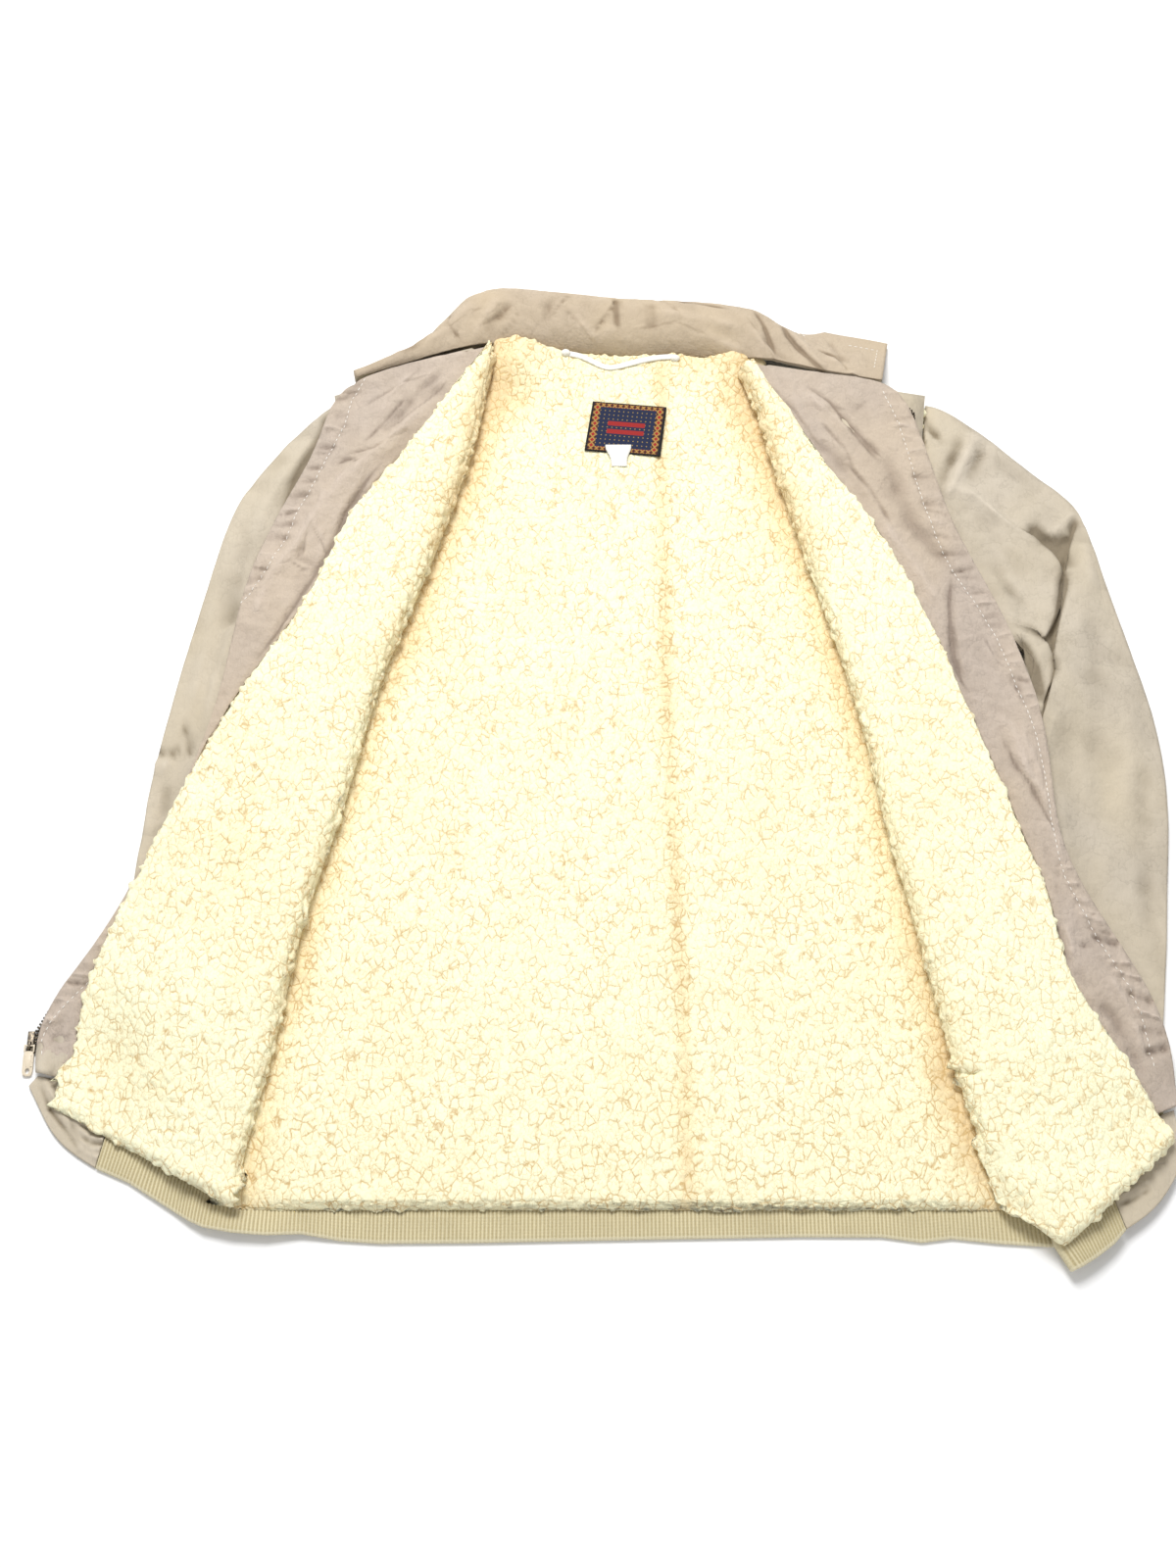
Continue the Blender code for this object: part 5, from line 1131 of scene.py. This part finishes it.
collarStrokes = (
    stroke(-2.0, 2.6, 0.7, (-8.8, 383.5), (-9.2, 370), (-9.7, 355.9)),
    stroke(1.6, 4.0, 0.3, (-42, 364), (-24.9, 348), (-7.8, 356)),
    stroke(1.8, 4.0, 0.4, (-112.7, 348), (-100.8, 367.9), (-93.7, 383.1)),
    stroke(-1.4, 3.4, 0.5, (-106, 350), (-93, 366), (-86, 378)),
    stroke(1.4, 3.0, 0.5, (-29.7, 380), (-18, 379), (-7.6, 374)),
    stroke(-1.4, 3.0, 0.6, (15, 378), (16.5, 364), (15, 352)),
    stroke(1.6, 4.0, 0.3, (18, 369), (41, 364), (60.7, 360), (86, 352)),
    stroke(2.0, 3.6, 0.5, (78, 372), (88, 359), (96.9, 341.8), (112.9, 322.2)),
    stroke(-1.8, 3.0, 0.6, (86, 364), (94, 350), (106, 333), (118, 323)),
    stroke(1.4, 3.4, 0.4, (52, 350), (70, 342), (84.4, 334)),
    stroke(1.4, 4.0, 0.3, (-148, 338), (-133, 352), (-122.8, 364.9), (-113.3, 378)),
    stroke(-1.3, 4.0, 0.3, (-164, 331), (-150, 343), (-138, 356)),
    stroke(-1.2, 3.0, 0.5, (-56, 383), (-60, 368), (-64, 356)),
    stroke(1.5, 3.0, 0.5, (112.9, 359.7), (126.6, 342), (140.2, 320)),
    stroke(1.6, 3.0, 0.5, (142, 332), (154.9, 320), (164.3, 313)),
    stroke(-1.2, 2.6, 0.5, (146, 356), (150, 338), (156, 326)),
    stroke(-1.0, 1.5, 0.6, (-8.1, 386), (-12.8, 372), (-24.9, 353.3), mark=1.6),
    stroke(-0.8, 1.4, 0.6, (-43.2, 388.4), (-49, 376.4), (-59.7, 360), mark=1.2),
    stroke(-0.8, 1.4, 0.6, (-49.1, 374.7), (-32.9, 353.3), (-16.9, 335.4), mark=0.9),
    stroke(-1.1, 1.7, 0.6, (90, 376), (97, 358), (100.6, 346.7), (107.7, 322.5), mark=2.0),
    stroke(-1.4, 1.9, 0.6, (110, 366), (115, 350), (121, 340), (134.4, 323.9), (145.8, 311.1), mark=2.8),
    stroke(-0.8, 1.4, 0.6, (-84, 376.4), (-97.2, 363.2), (-113, 351.8), mark=1.2),
    stroke(-0.9, 1.4, 0.6, (-129.4, 369), (-131.8, 356.7), (-120.8, 342), mark=1.3),
    stroke(-0.8, 1.3, 0.6, (15.7, 387.9), (31.6, 374.7), (39.4, 358.2), mark=0.9),
    stroke(-1.0, 1.5, 0.6, (34, 382), (58.3, 376.5), (74.3, 372), mark=1.8),
    stroke(-1.0, 1.5, 0.6, (135.5, 339.8), (148.6, 333.3), (158.4, 315.5), mark=1.6),
)
# At the left elbow the forearm's edge lies over the upper arm, which lies over a tucked flap.
elbowFolds = (
    {"line": ((244.2, 216.3), (266.2, 192.6), (281, 185.1), (291.6, 171.4), (300.1, 155.6)),
     "side": -1, "high": 2.6 * mm, "reach": 16 * mm, "lip": 1.6 * mm, "dip": 1.4 * mm, "shade": 1.1,
     "start": 0.7, "end": 0.10},
    {"line": ((300.1, 155.6), (297.9, 142), (295.4, 133.8), (286.5, 115.3), (278.6, 102.6),
              (269.8, 108.1), (255.9, 113.2)),
     "side": -1, "high": 2.4 * mm, "reach": 12 * mm, "lip": 1.6 * mm, "dip": 1.2 * mm, "shade": 0.9,
     "start": 0.15, "end": 0.25},
    {"line": ((256.4, 114.3), (270.2, 109.2), (280.1, 100.1), (286.8, 85.9), (286.7, 78.9),
              (284, 73.9), (277.8, 63.9), (274.1, 53.1), (273.5, 42.2)),
     "side": -1, "high": 2.6 * mm, "reach": 5 * mm, "lip": 1.2 * mm, "dip": 0.6 * mm, "shade": 0.6,
     "start": 0.2, "end": 0.2},
    {"line": ((314.4, 204), (309.9, 188.9), (305, 172), (300.3, 153), (296.9, 134.3),
              (294.3, 119.9), (289.5, 103.6), (286.3, 87.4), (286.5, 78.4), (281.9, 63.4),
              (278.7, 53.5), (272.5, 36.8), (267.7, 22.2)),
     "side": 1, "high": 5.6 * mm, "reach": 32 * mm, "lip": 3.0 * mm, "dip": 1.4 * mm, "shade": 1.3,
     "start": 0.14, "end": 0.10},
)

# Where each cloth lies deep in a fold or under an edge: half width in millimetres, strength, line.
shadows = {
    "leftSleeve": (
        (4.0, 1.2, (285, 184), (293, 178), (299, 170)),
        (3.0, 0.9, (300, 176), (304, 185)),
        (2.4, 0.9, (299, 154), (296, 140), (292, 126), (286, 108), (284, 96)),
        (4.5, 1.0, (260, 101), (266, 90), (270, 76), (271.5, 56)),
        (1.6, 1.2, (205.5, 300), (204.5, 286), (211, 262)),
    ),
    "rightSleeve": (
        (6.0, 1.2, (-212.7, 295.2), (-217.9, 272.1), (-225, 256), (-230.7, 241.7), (-237.5, 222.9)),
        (3.0, 1.0, (-230.7, 241.7), (-239, 220), (-246.1, 195.1), (-260, 160)),
    ),
    "rightFacing": (
        (1.0, 1.1, (-176, 240), (-183.4, 229.6), (-197.8, 201.8), (-204.5, 178.1), (-212.8, 158.3),
         (-226.6, 129.8), (-238.8, 103.6), (-251.2, 82.9)),
        (0.9, 0.8, (-205.5, 240.4), (-199.7, 244), (-190.7, 242.2)),
        (0.8, 0.8, (-223, 193), (-219, 185), (-214, 176), (-211, 168)),
        (0.8, 0.7, (-222, 192), (-225, 180), (-226.2, 164.8)),
        (0.8, 0.7, (-234.4, 159.5), (-226.3, 154.1), (-217, 152.3)),
        (0.9, 0.6, (-151.6, 320.8), (-160.8, 307.1), (-176.3, 289.6)),
        (0.9, 0.6, (-129, 312), (-148, 290), (-164.4, 274.3), (-173, 270)),
        (7.0, 0.35, (-118.7, 300.5), (-143.6, 273.6), (-165, 250.8), (-183.4, 235.7)),
    ),
    "leftFacing": (
        (1.0, 0.9, (218.4, 146.2), (215.5, 125.6), (215, 101.2), (215.9, 81.1), (219.1, 65.2),
         (224, 56)),
        (0.9, 0.7, (237, 99), (240, 90), (242.4, 81.5), (248.3, 76)),
        (0.9, 0.6, (147.9, 281.7), (161.4, 264.5), (177, 244.6)),
        (9.0, 0.18, (150, 270), (174, 235), (190, 200), (206, 172)),
        (0.9, 0.7, (242, 24.3), (250.3, 1.7), (258.2, -10.8), (265.4, -30.4), (272.5, -49.9)),
    ),
    "collarUpper": (
        (0.9, 1.1, (-8.8, 385), (-9.4, 365), (-9.7, 345)),
        (0.8, 0.7, (80.7, 369), (92.3, 351), (106, 324.3), (119.8, 306.7)),
        (0.8, 0.6, (-129.8, 353.2), (-115.5, 368.2), (-100.9, 371.3)),
        (0.8, 0.5, (-93.2, 350.2), (-83.6, 362.2), (-78.8, 371.3)),
        (0.8, 0.5, (2, 354), (33.9, 360), (60.5, 348)),
    ),
}


# A cloth part: the node it stands for, its slot, what it measures when it is laid flat, how it is held
# and what it rests on; "levels" is how finely it is cut, and "more" holds what is done to it.
def cloth(node, slot, flat, area, held, restsOn=(), levels=3, **more):
    return {"node": node, "slot": slot, "flat": flat, "area": area, "held": held, "restsOn": list(restsOn),
            "levels": levels, **more}


def crumpled(high, size, seed):
    return {"high": high * mm, "size": size * mm, "seed": seed}


# Poplin parts: shells, facings, sleeves, collar plies and hem tabs.
poplinParts = {
    "backShell": cloth("back_shell", "shell", (0.536, 0.607), 0.285, "laid", levels=2),
    "rightFrontShell": cloth(
        "front_shell_right", "shell", (0.275, 0.550), 0.0990, "folded", ["backPile"], levels=2,
        folds=frontPresses["right"], weight=upperLeaf),
    "leftFrontShell": cloth(
        "front_shell_left", "shell", (0.280, 0.560), 0.1130, "folded", ["backPile"], levels=2,
        folds=frontPresses["left"], weight=upperLeaf),
    "rightFacing": cloth(
        "facing_right", "facing", (0.085, 0.550), 0.0170, "folded", ["rightFrontShell"], longest=1.9 * mm,
        folds=frontPresses["right"], weight=everywhere, crisp=True, shadows=shadows["rightFacing"],
        crumple=crumpled(1.1, 15, 3.1)),
    "leftFacing": cloth(
        "facing_left", "facing", (0.095, 0.560), 0.0265, "folded", ["leftFrontShell"], longest=1.9 * mm,
        folds=frontPresses["left"], weight=everywhere, crisp=True, shadows=shadows["leftFacing"],
        crumple=crumpled(1.0, 17, 5.7)),
    "rightSleeve": cloth(
        "sleeve_right", "shell", (0.300, 0.400), 0.0580, "laid", folds=sleeveStrokes["rightSleeve"],
        weight=topPanel, keepRoom=True, shadows=shadows["rightSleeve"], crumple=crumpled(1.5, 30, 2.3)),
    "leftSleeve": cloth(
        "sleeve_left", "shell", (0.340, 0.480), 0.0900, "laid", folds=sleeveStrokes["leftSleeve"],
        weight=topPanel, keepRoom=True, over=elbowFolds, shadows=shadows["leftSleeve"],
        crumple=crumpled(1.3, 30, 8.9)),
    "collarUpper": cloth(
        "collar_upper", "shell", (0.440, 0.085), 0.0275, "folded", ["collarUnder"], folds=collarStrokes,
        weight=collarTop, crisp=True, finish="collar", shadows=shadows["collarUpper"],
        crumple=crumpled(0.9, 16, 6.1)),
    "collarUnder": cloth(
        "collar_under", "shell", (0.440, 0.080), 0.0250, "folded", levels=2, folds=collarStrokes,
        weight=collarTop, crumple=crumpled(0.9, 16, 6.1)),
    "rightHemTab": cloth("hem_tab_right", "shell", (0.055, 0.042), 0.0018, "laid", longest=mm,
                         folds=rightTabStrokes, weight=tabTop),
    "leftHemTab": cloth("hem_tab_left", "shell", (0.056, 0.048), 0.0023, "laid", longest=mm,
                        folds=[*frontPresses["left"], *leftTabStrokes], weight=everywhere),
}


# Narrow creases need a finer mesh along their lines, and so does the cloth under folded-over edges.
crisp = {"wide": 2 * mm, "reach": 3 * mm, "longest": 0.8 * mm}
folded = {"reach": 9 * mm, "longest": 1.5 * mm}


def makePoplinPart(name):
    settings = poplinParts[name]
    piece = pieceFrom(clothCage(settings["node"]), name)
    smoothCloth(piece, settings["levels"])
    if "longest" in settings:
        refineShown(piece, settings["longest"], 1)
    for fold in settings.get("over", ()):
        refineNear(piece, fold["line"], folded["reach"], folded["longest"])
    for fold in settings.get("folds", ()):
        if settings.get("crisp") and fold["wide"] < crisp["wide"]:
            refineNear(piece, fold["line"], crisp["reach"], crisp["longest"])
    if settings["slot"] == "facing":
        turnNeck(piece, "right" if name == "rightFacing" else "left")
    if name == "rightFacing":
        sinkCorner(piece)
    if name.startswith("collar"):
        raiseCollar(piece)
    if "crumple" in settings:
        crumple(piece, settings["crumple"], settings["weight"])
    if "folds" in settings:
        pressStrokes(piece, settings["folds"], settings["weight"], settings.get("keepRoom", False))
    for fold in settings.get("over", ()):
        foldOver(piece, fold, settings["weight"])
    if "shadows" in settings:
        shadeLines(piece, settings["shadows"], settings["weight"])
    layCloth(piece, settings)


for name in poplinParts:
    makePoplinPart(name)
print("poplin laid")

# The hem band: its sewn edge, its free edge, the height of its underside and the free edge's lift,
# all in millimetres, from the wearer's right to the left, where it is folded into three layers.
hemBand = {
    "node": "rib_hem", "slot": "rib", "flat": (0.800, 0.042), "area": 0.0330, "held": "folded",
    "restsOn": [], "pitch": 2.4 * mm, "relief": 0.55 * mm, "soften": 2.2 * mm, "fine": 0.2 * mm,
    "tucked": 1.4 * mm, "wall": 3.0 * mm, "topLines": 15, "underLines": 6,
    "stations": (
        (-322.5, -219.2, -331, -260, 0.2, 0), (-300, -232.6, -310, -269, 0.2, 0.2),
        (-276, -247, -280, -287.5, 0.2, 1.4), (-268, -256, -271, -293, 0.2, 3),
        (-260, -264.2, -262, -297.2, 0.2, 4.6), (-243, -264.2, -244, -300.6, 0, 5.6),
        (-225, -264.2, -224, -302, 0, 5), (-204, -264.2, -203, -300.8, 0, 2.6),
        (-180, -264.2, -179, -304.5, 0, 0.2), (-156, -264.2, -156, -306, 0, 0),
        (-100, -264.2, -100, -305.6, 0, 0), (-30, -264.2, -30, -304.2, 0, 0),
        (40, -264.2, 40, -303, 0, 0), (100, -264.2, 100, -302, 0, 0), (147, -264.2, 147, -302.2, 0, 0),
        (171, -264.2, 171, -305.5, 0, 0), (189, -264.2, 189, -303.2, 0, 0),
        (216, -264.2, 216, -306, 0, 0), (242, -266, 247, -308, 0, 0), (260, -272, 269, -308, 0, 0),
        (263, -272.2, 272, -308.2, 1, 0), (264.5, -272.4, 273.5, -308.4, 3.6, 0),
        (263, -272.6, 272, -308.6, 6.2, 0), (260, -272.8, 269, -309, 7.2, 0),
        (243, -285, 264, -320, 7.2, 0), (240, -286.4, 261, -322.5, 7.5, 0),
        (239, -286.8, 260, -323.5, 8.3, 0), (240, -286.4, 261, -323.2, 9.1, 0),
        (243, -283.6, 265, -321.5, 9.4, 0), (257, -272.2, 274, -316, 9.2, 0),
        (270, -262.4, 285, -308, 8, 0), (280, -255.2, 293, -299.5, 7, 0),
    ),
}


# The band's columns, evenly spaced along its middle: sewn point, free point, lift and run.
def bandColumns(band):
    rows = np.array(band["stations"]) * mm
    for step in (band["fine"], None):
        middle = np.stack(((rows[:, 0] + rows[:, 2]) / 2, (rows[:, 1] + rows[:, 3]) / 2, rows[:, 4]), 1)
        run = np.concatenate(([0.0], np.cumsum(np.linalg.norm(middle[1:] - middle[:-1], axis=1))))
        count = int(run[-1] / step) if step else 4 * round(run[-1] / band["pitch"]) + 1
        even = np.linspace(0.0, run[-1], count)
        rows = np.stack([np.interp(even, run, rows[:, column]) for column in range(6)], 1)
        if step:
            width = 2 * int(band["soften"] / step / 2) + 1
            padded = np.pad(rows, ((width // 2, width // 2), (0, 0)), mode="edge")
            mean = np.ones(width) / width
            rows = np.stack([np.convolve(padded[:, column], mean, "valid") for column in range(6)], 1)
    sewn, free = rows[:, (0, 1, 4)], rows[:, (2, 3, 4)]
    return sewn, free, rows[:, 5], even


# One lap round the band's section: share of the depth and share of the wall, top first. The part
# that is tucked under the pile is thinner.
def bandSection(band):
    lap = [(t, 1.0) for t in np.linspace(0.0, 0.985, band["topLines"])]
    lap += [(1.0, 0.82), (1.006, 0.5), (1.0, 0.18)]
    lap += [(t, 0.0) for t in np.linspace(0.985, 0.0, band["underLines"])]
    return lap


def makeHemBand():
    sewn, free, lift, run = bandColumns(hemBand)
    down = (free - sewn) / np.linalg.norm(free - sewn, axis=1)[:, None]
    along = np.gradient((sewn + free) / 2, axis=0)
    up = np.cross(down, along)
    up /= np.linalg.norm(up, axis=1)[:, None]
    lap = bandSection(hemBand)
    columns, lines = len(run) - 1, len(lap)
    mesh = bmesh.new()
    bmesh.ops.create_grid(mesh, x_segments=columns, y_segments=lines, size=0.5)
    knit = mesh.loops.layers.uv.new("ribs")
    for face in mesh.faces:
        for corner in face.loops:
            line = round((corner.vert.co.y + 0.5) * lines)
            ribs = (corner.vert.co.x + 0.5) * columns / 4.0
            corner[knit].uv = (ribs, lap[line % lines][0])
    for vertex in mesh.verts:
        column = round((vertex.co.x + 0.5) * columns)
        share, wall = lap[round((vertex.co.y + 0.5) * lines) % lines]
        thick = hemBand["wall"] - hemBand["tucked"]
        thick = hemBand["tucked"] + thick * float(smoothStep(share, 0.45, 0.58))
        place = sewn[column] + (free[column] - sewn[column]) * share
        place = place + np.array((0.0, 0.0, lift[column] * float(smoothStep(share, 0.5, 1.0))))
        crest = math.cos(run[column] * 2 * math.pi / hemBand["pitch"]) - 1.0
        crest *= hemBand["relief"] * (wall - 0.5) * min(1.0, (1.02 - share) * 12.0)
        vertex.co = place + up[column] * (thick * wall + crest)
        vertex.co.z = max(vertex.co.z, 0.0)
    bmesh.ops.remove_doubles(mesh, verts=mesh.verts, dist=weldDistance / 4)
    bmesh.ops.holes_fill(mesh, edges=[e for e in mesh.edges if e.is_boundary], sides=0)
    bmesh.ops.recalc_face_normals(mesh, faces=mesh.faces)
    layCloth(pieceFrom(mesh, "hemBand"), hemBand)


cuffs = {
    "rightCuff": cloth("cuff_right", "rib", (0.110, 0.052), 0.0042, "laid", pitch=2.4 * mm, deep=0.9),
    "leftCuff": cloth("cuff_left", "rib", (0.120, 0.052), 0.0060, "laid", pitch=2.4 * mm, deep=0.9),
}


def makeCuff(name):
    settings = cuffs[name]
    piece = pieceFrom(clothCage(settings["node"]), name)
    smoothCloth(piece, settings["levels"])
    places, _ = readPoints(piece)
    low, high = places.min(0), places.max(0)
    down = (places[:, 1] - low[1]) / (high[1] - low[1]) * settings["deep"]
    shares = np.stack((places[:, 0] / settings["pitch"], down), 1)
    corners = np.zeros(len(piece.data.loops), dtype=np.int32)
    piece.data.loops.foreach_get("vertex_index", corners)
    piece.data.uv_layers.new(name="ribs").data.foreach_set("uv", shares[corners].ravel())
    layCloth(piece, settings)


makeHemBand()
for name in cuffs:
    makeCuff(name)
print("ribs knitted")

# Small sewn-on parts.
smallParts = {
    "rightZipTape": cloth(
        "zip_tape_right", "zip_tape", (0.016, 0.540), 0.0030, "laid", ["rightFrontShell"], levels=2,
        folds=frontPresses["right"], weight=upperLeaf),
    "leftZipTape": cloth(
        "zip_tape_left", "zip_tape", (0.016, 0.550), 0.0035, "laid", ["leftFrontShell"], levels=2,
        folds=frontPresses["left"], weight=upperLeaf),
    "hangerLoop": cloth("hanger_loop", "tape", (0.0105, 0.084), 0.0004, "laid", ["backPile"], levels=2),
    "sizeTag": cloth("size_tag", "tape", (0.019, 0.017), 0.0002, "laid", ["neckLabel"]),
    "neckLabel": cloth("label", "label", (0.053, 0.042), 0.0022, "laid", ["backPile"], levels=5),
}


def makeSmallPart(name):
    settings = smallParts[name]
    piece = pieceFrom(clothCage(settings["node"]), name)
    smoothCloth(piece, settings["levels"])
    if "folds" in settings:
        pressStrokes(piece, settings["folds"], settings["weight"])
    layCloth(piece, settings)


# The label's upper corners and its lower right one, which its weave is laid out between.
labelCorners = ((-26.5, 298.0), (26.3, 292.9), (-32.5, 256.5))


def weaveLabel(piece):
    places, _ = readPoints(piece)
    topLeft, topRight, bottomLeft = (np.array(corner) * mm for corner in labelCorners)
    sides = np.linalg.inv(np.stack((topRight - topLeft, bottomLeft - topLeft), 1))
    shares = (places[:, :2] - topLeft) @ sides.T
    corners = np.zeros(len(piece.data.loops), dtype=np.int32)
    piece.data.loops.foreach_get("vertex_index", corners)
    piece.data.uv_layers.new(name="weave").data.foreach_set("uv", shares[corners].ravel())


for name in smallParts:
    makeSmallPart(name)
weaveLabel(finished["neckLabel"])

slider = {"node": "zip_slider", "slot": "zip_metal", "bevel": 0.18 * mm}
pullTab = {"node": "zip_pull", "slot": "pull", "bevel": 0.15 * mm}


def makeHardPart(name, settings, body):
    piece = pieceFrom(clothCage(settings["node"]), name)
    bevel = piece.modifiers.new("bevel", "BEVEL")
    bevel.width = settings["bevel"]
    bevel.segments = 2
    bevel.limit_method = "ANGLE"
    applyModifiers(piece)
    finishPiece(piece, settings, body)


makeHardPart("zipSlider", slider, "jacket")
makeHardPart("zipPull", pullTab, "pull")
print("small parts made")


# Points at even steps along a line in plan, each with the direction there.
def walkLine(line, step):
    line = np.array(line) * mm
    lengths = np.hypot(*(line[1:] - line[:-1]).T)
    run = np.concatenate(([0.0], np.cumsum(lengths)))
    places = np.arange(step / 2, run[-1], step)
    points = np.stack([np.interp(places, run, line[:, axis]) for axis in (0, 1)], 1)
    ahead = np.stack([np.interp(places + step / 3, run, line[:, axis]) for axis in (0, 1)], 1)
    return points, ahead - points


# The cloth's surface at a point in plan, seen from above the whole jacket.
aboveAll = 80 * mm


def surfaceBelow(tree, x, y):
    return tree.ray_cast(Vector((x, y, aboveAll)), Vector((0, 0, -1)))[:2]


# Topstitches: small drawn-out beads that follow the cloth, laid in plan lines.
stitches = {
    "rightTopstitch": {"cloth": "rightFacing", "lines": (seams["rightUpper"], seams["rightLower"])},
    "leftTopstitch": {"cloth": "leftFacing", "lines": (seams["left"],)},
    "collarStitch": {"cloth": "collarUpper", "lines": (
        ((121.5, 357), (127.5, 355.2)), ((159, 349.2), (180.6, 344.7), (175.6, 320.8)))},
}
stitchShape = {"slot": "tape", "finish": "thread", "step": 4.1 * mm, "long": 2.7 * mm, "thick": 0.60 * mm,
               "lift": 0.12}


def sewStitches(name, settings):
    tree = treeOf([finished[settings["cloth"]].data])
    dice = random.Random(len(name))
    mesh = bmesh.new()
    for line in settings["lines"]:
        for point, ahead in zip(*walkLine(line, stitchShape["step"])):
            spot, normal = surfaceBelow(tree, *point)
            if spot is None:
                continue
            lead = Vector((ahead[0], ahead[1], 0.0))
            lead = (lead - normal * lead.dot(normal)).normalized()
            turn = lead.to_track_quat("Z", "Y").to_matrix().to_4x4()
            long = stitchShape["long"] * dice.uniform(0.85, 1.1) / 2
            size = Matrix.Diagonal((stitchShape["thick"] / 2, stitchShape["thick"] / 2, long, 1.0))
            at = Matrix.Translation(spot + normal * stitchShape["lift"] * mm)
            bmesh.ops.create_uvsphere(mesh, u_segments=6, v_segments=4, radius=1.0, matrix=at @ turn @ size)
    piece = finishPiece(pieceFrom(mesh, name), stitchShape)
    sewnOn.setdefault(settings["cloth"], []).append(piece)


# The hanger loop's ends are knotted.
knots = {"slot": "tape", "size": (3.4 * mm, 2.6 * mm, 2.4 * mm), "lift": 1.2 * mm, "lumps": 0.5 * mm,
         "places": ((-46.2, 340.0), (33.3, 335.6))}


def tieKnots():
    tree = treeOf([finished["backPile"].data, finished["hangerLoop"].data])
    mesh = bmesh.new()
    for x, y in knots["places"]:
        spot, _ = surfaceBelow(tree, x * mm, y * mm)
        at = Matrix.Translation(spot + Vector((0, 0, knots["lift"])))
        at = at @ Matrix.Diagonal((*knots["size"], 1.0))
        bmesh.ops.create_icosphere(mesh, subdivisions=3, radius=1.0, matrix=at)
    for vertex in mesh.verts:
        vertex.co += vertex.co.normalized() * knots["lumps"] * noise.noise(vertex.co / (2 * mm))
    piece = finishPiece(pieceFrom(mesh, "loopKnots"), knots)
    sewnOn.setdefault("hangerLoop", []).append(piece)


tieKnots()

# Zip teeth: a row of small blocks along the outer edge of each tape; "out" says how far outside the
# front's edge they stand at each height, so that only some of them show.
teeth = {
    "rightTeeth": {"tape": "rightZipTape", "edge": "right",
                   "out": ((320, -3.0), (-140, -3.0), (-165, 1.6), (-210, 1.9))},
    "leftTeeth": {"tape": "leftZipTape", "edge": "left",
                  "out": ((320, -3.2), (304, -3.2), (299, 2.2), (286, 2.2), (276, -3.2), (-210, -3.2))},
}
toothShape = {"slot": "zip_metal", "step": 2.3 * mm, "size": (2.2 * mm, 1.15 * mm, 1.5 * mm),
              "farthest": 3 * mm, "lowest": 0.8 * mm}


def setTeeth(name, settings):
    tree = treeOf([finished[settings["tape"]].data])
    line = np.array(edges[settings["edge"]])
    line[:, 0] += np.interp(line[:, 1], *zip(*settings["out"][::-1])) * np.sign(line[:, 0])
    mesh = bmesh.new()
    for point, ahead in zip(*walkLine(line, toothShape["step"])):
        spot, _, _, gap = tree.find_nearest(Vector((point[0], point[1], 0.01)))
        for _ in range(2):
            spot, _, _, gap = tree.find_nearest(Vector((point[0], point[1], spot.z)))
        if gap > toothShape["farthest"]:
            continue
        lead = Vector((ahead[0], ahead[1], 0.0)).normalized()
        turn = lead.to_track_quat("Y", "Z").to_matrix().to_4x4()
        at = Matrix.Translation((point[0], point[1], max(spot.z, toothShape["lowest"])))
        size = Matrix.Diagonal((*toothShape["size"], 1.0))
        bmesh.ops.create_cube(mesh, size=1.0, matrix=at @ turn @ size)
    piece = finishPiece(pieceFrom(mesh, name), toothShape)
    sewnOn.setdefault(settings["tape"], []).append(piece)


for name, settings in stitches.items():
    sewStitches(name, settings)
for name, settings in teeth.items():
    setTeeth(name, settings)
print("stitches and teeth set")

# Floor, light and camera.
floor = {"size": 8.0, "rough": 0.9, "mottle": 0.4, "pale": (0.91, 0.93)}
room = {"sky": 0.43, "lamps": ((52.0, 1.0, (-0.25, 1.10, 1.98)), (8.0, 1.6, (0.30, -1.70, 1.30)))}
lens = {"place": (-0.030, -0.600, 1.287), "tilt": 25.0, "length": 49.14}


def makeFloor():
    mesh = bmesh.new()
    bmesh.ops.create_grid(mesh, x_segments=4, y_segments=4, size=floor["size"] / 2)
    ground = pieceFrom(mesh, "floor")
    material, tree, shader = startMaterial("whiteFloor", floor["rough"], specular=0.0)
    mottle = noiseField(tree, objectPlace(tree), floor["mottle"], 2.0)
    shade = spread(tree, mottle.outputs["Fac"], 0.0, 1.0, *floor["pale"])
    colour = addNode(tree, "CombineColor")
    for channel in colour.inputs:
        tree.links.new(shade, channel)
    tree.links.new(colour.outputs[0], shader.inputs["Base Color"])
    ground.data.materials.append(material)


def lightRoom():
    world = bpy.data.worlds.new("studio")
    world.use_nodes = True
    sky = world.node_tree.nodes["Background"]
    sky.inputs["Color"].default_value = (1.0, 1.0, 1.0, 1.0)
    sky.inputs["Strength"].default_value = room["sky"]
    bpy.context.scene.world = world
    for power, size, place in room["lamps"]:
        lamp = bpy.data.lights.new("softBox", "AREA")
        lamp.energy = power
        lamp.size = size
        stand = bpy.data.objects.new("softBox", lamp)
        stand.location = place
        stand.rotation_euler = (-Vector(place)).to_track_quat("-Z", "Y").to_euler()
        bpy.context.scene.collection.objects.link(stand)
    bpy.context.scene.view_settings.view_transform = "Standard"


def placeCamera():
    view = bpy.data.cameras.new("view")
    view.lens = lens["length"]
    view.sensor_width = 36.0
    camera = bpy.data.objects.new("view", view)
    camera.location = lens["place"]
    camera.rotation_euler = (math.radians(lens["tilt"]), 0.0, 0.0)
    bpy.context.scene.collection.objects.link(camera)
    bpy.context.scene.camera = camera


makeFloor()
lightRoom()
placeCamera()
for piece in finished.values():
    piece.data.calc_loop_triangles()
    print("  %-16s %6d triangles" % (piece.name, len(piece.data.loop_triangles)))
print("total triangles", sum(len(p.data.loop_triangles) for p in finished.values()))
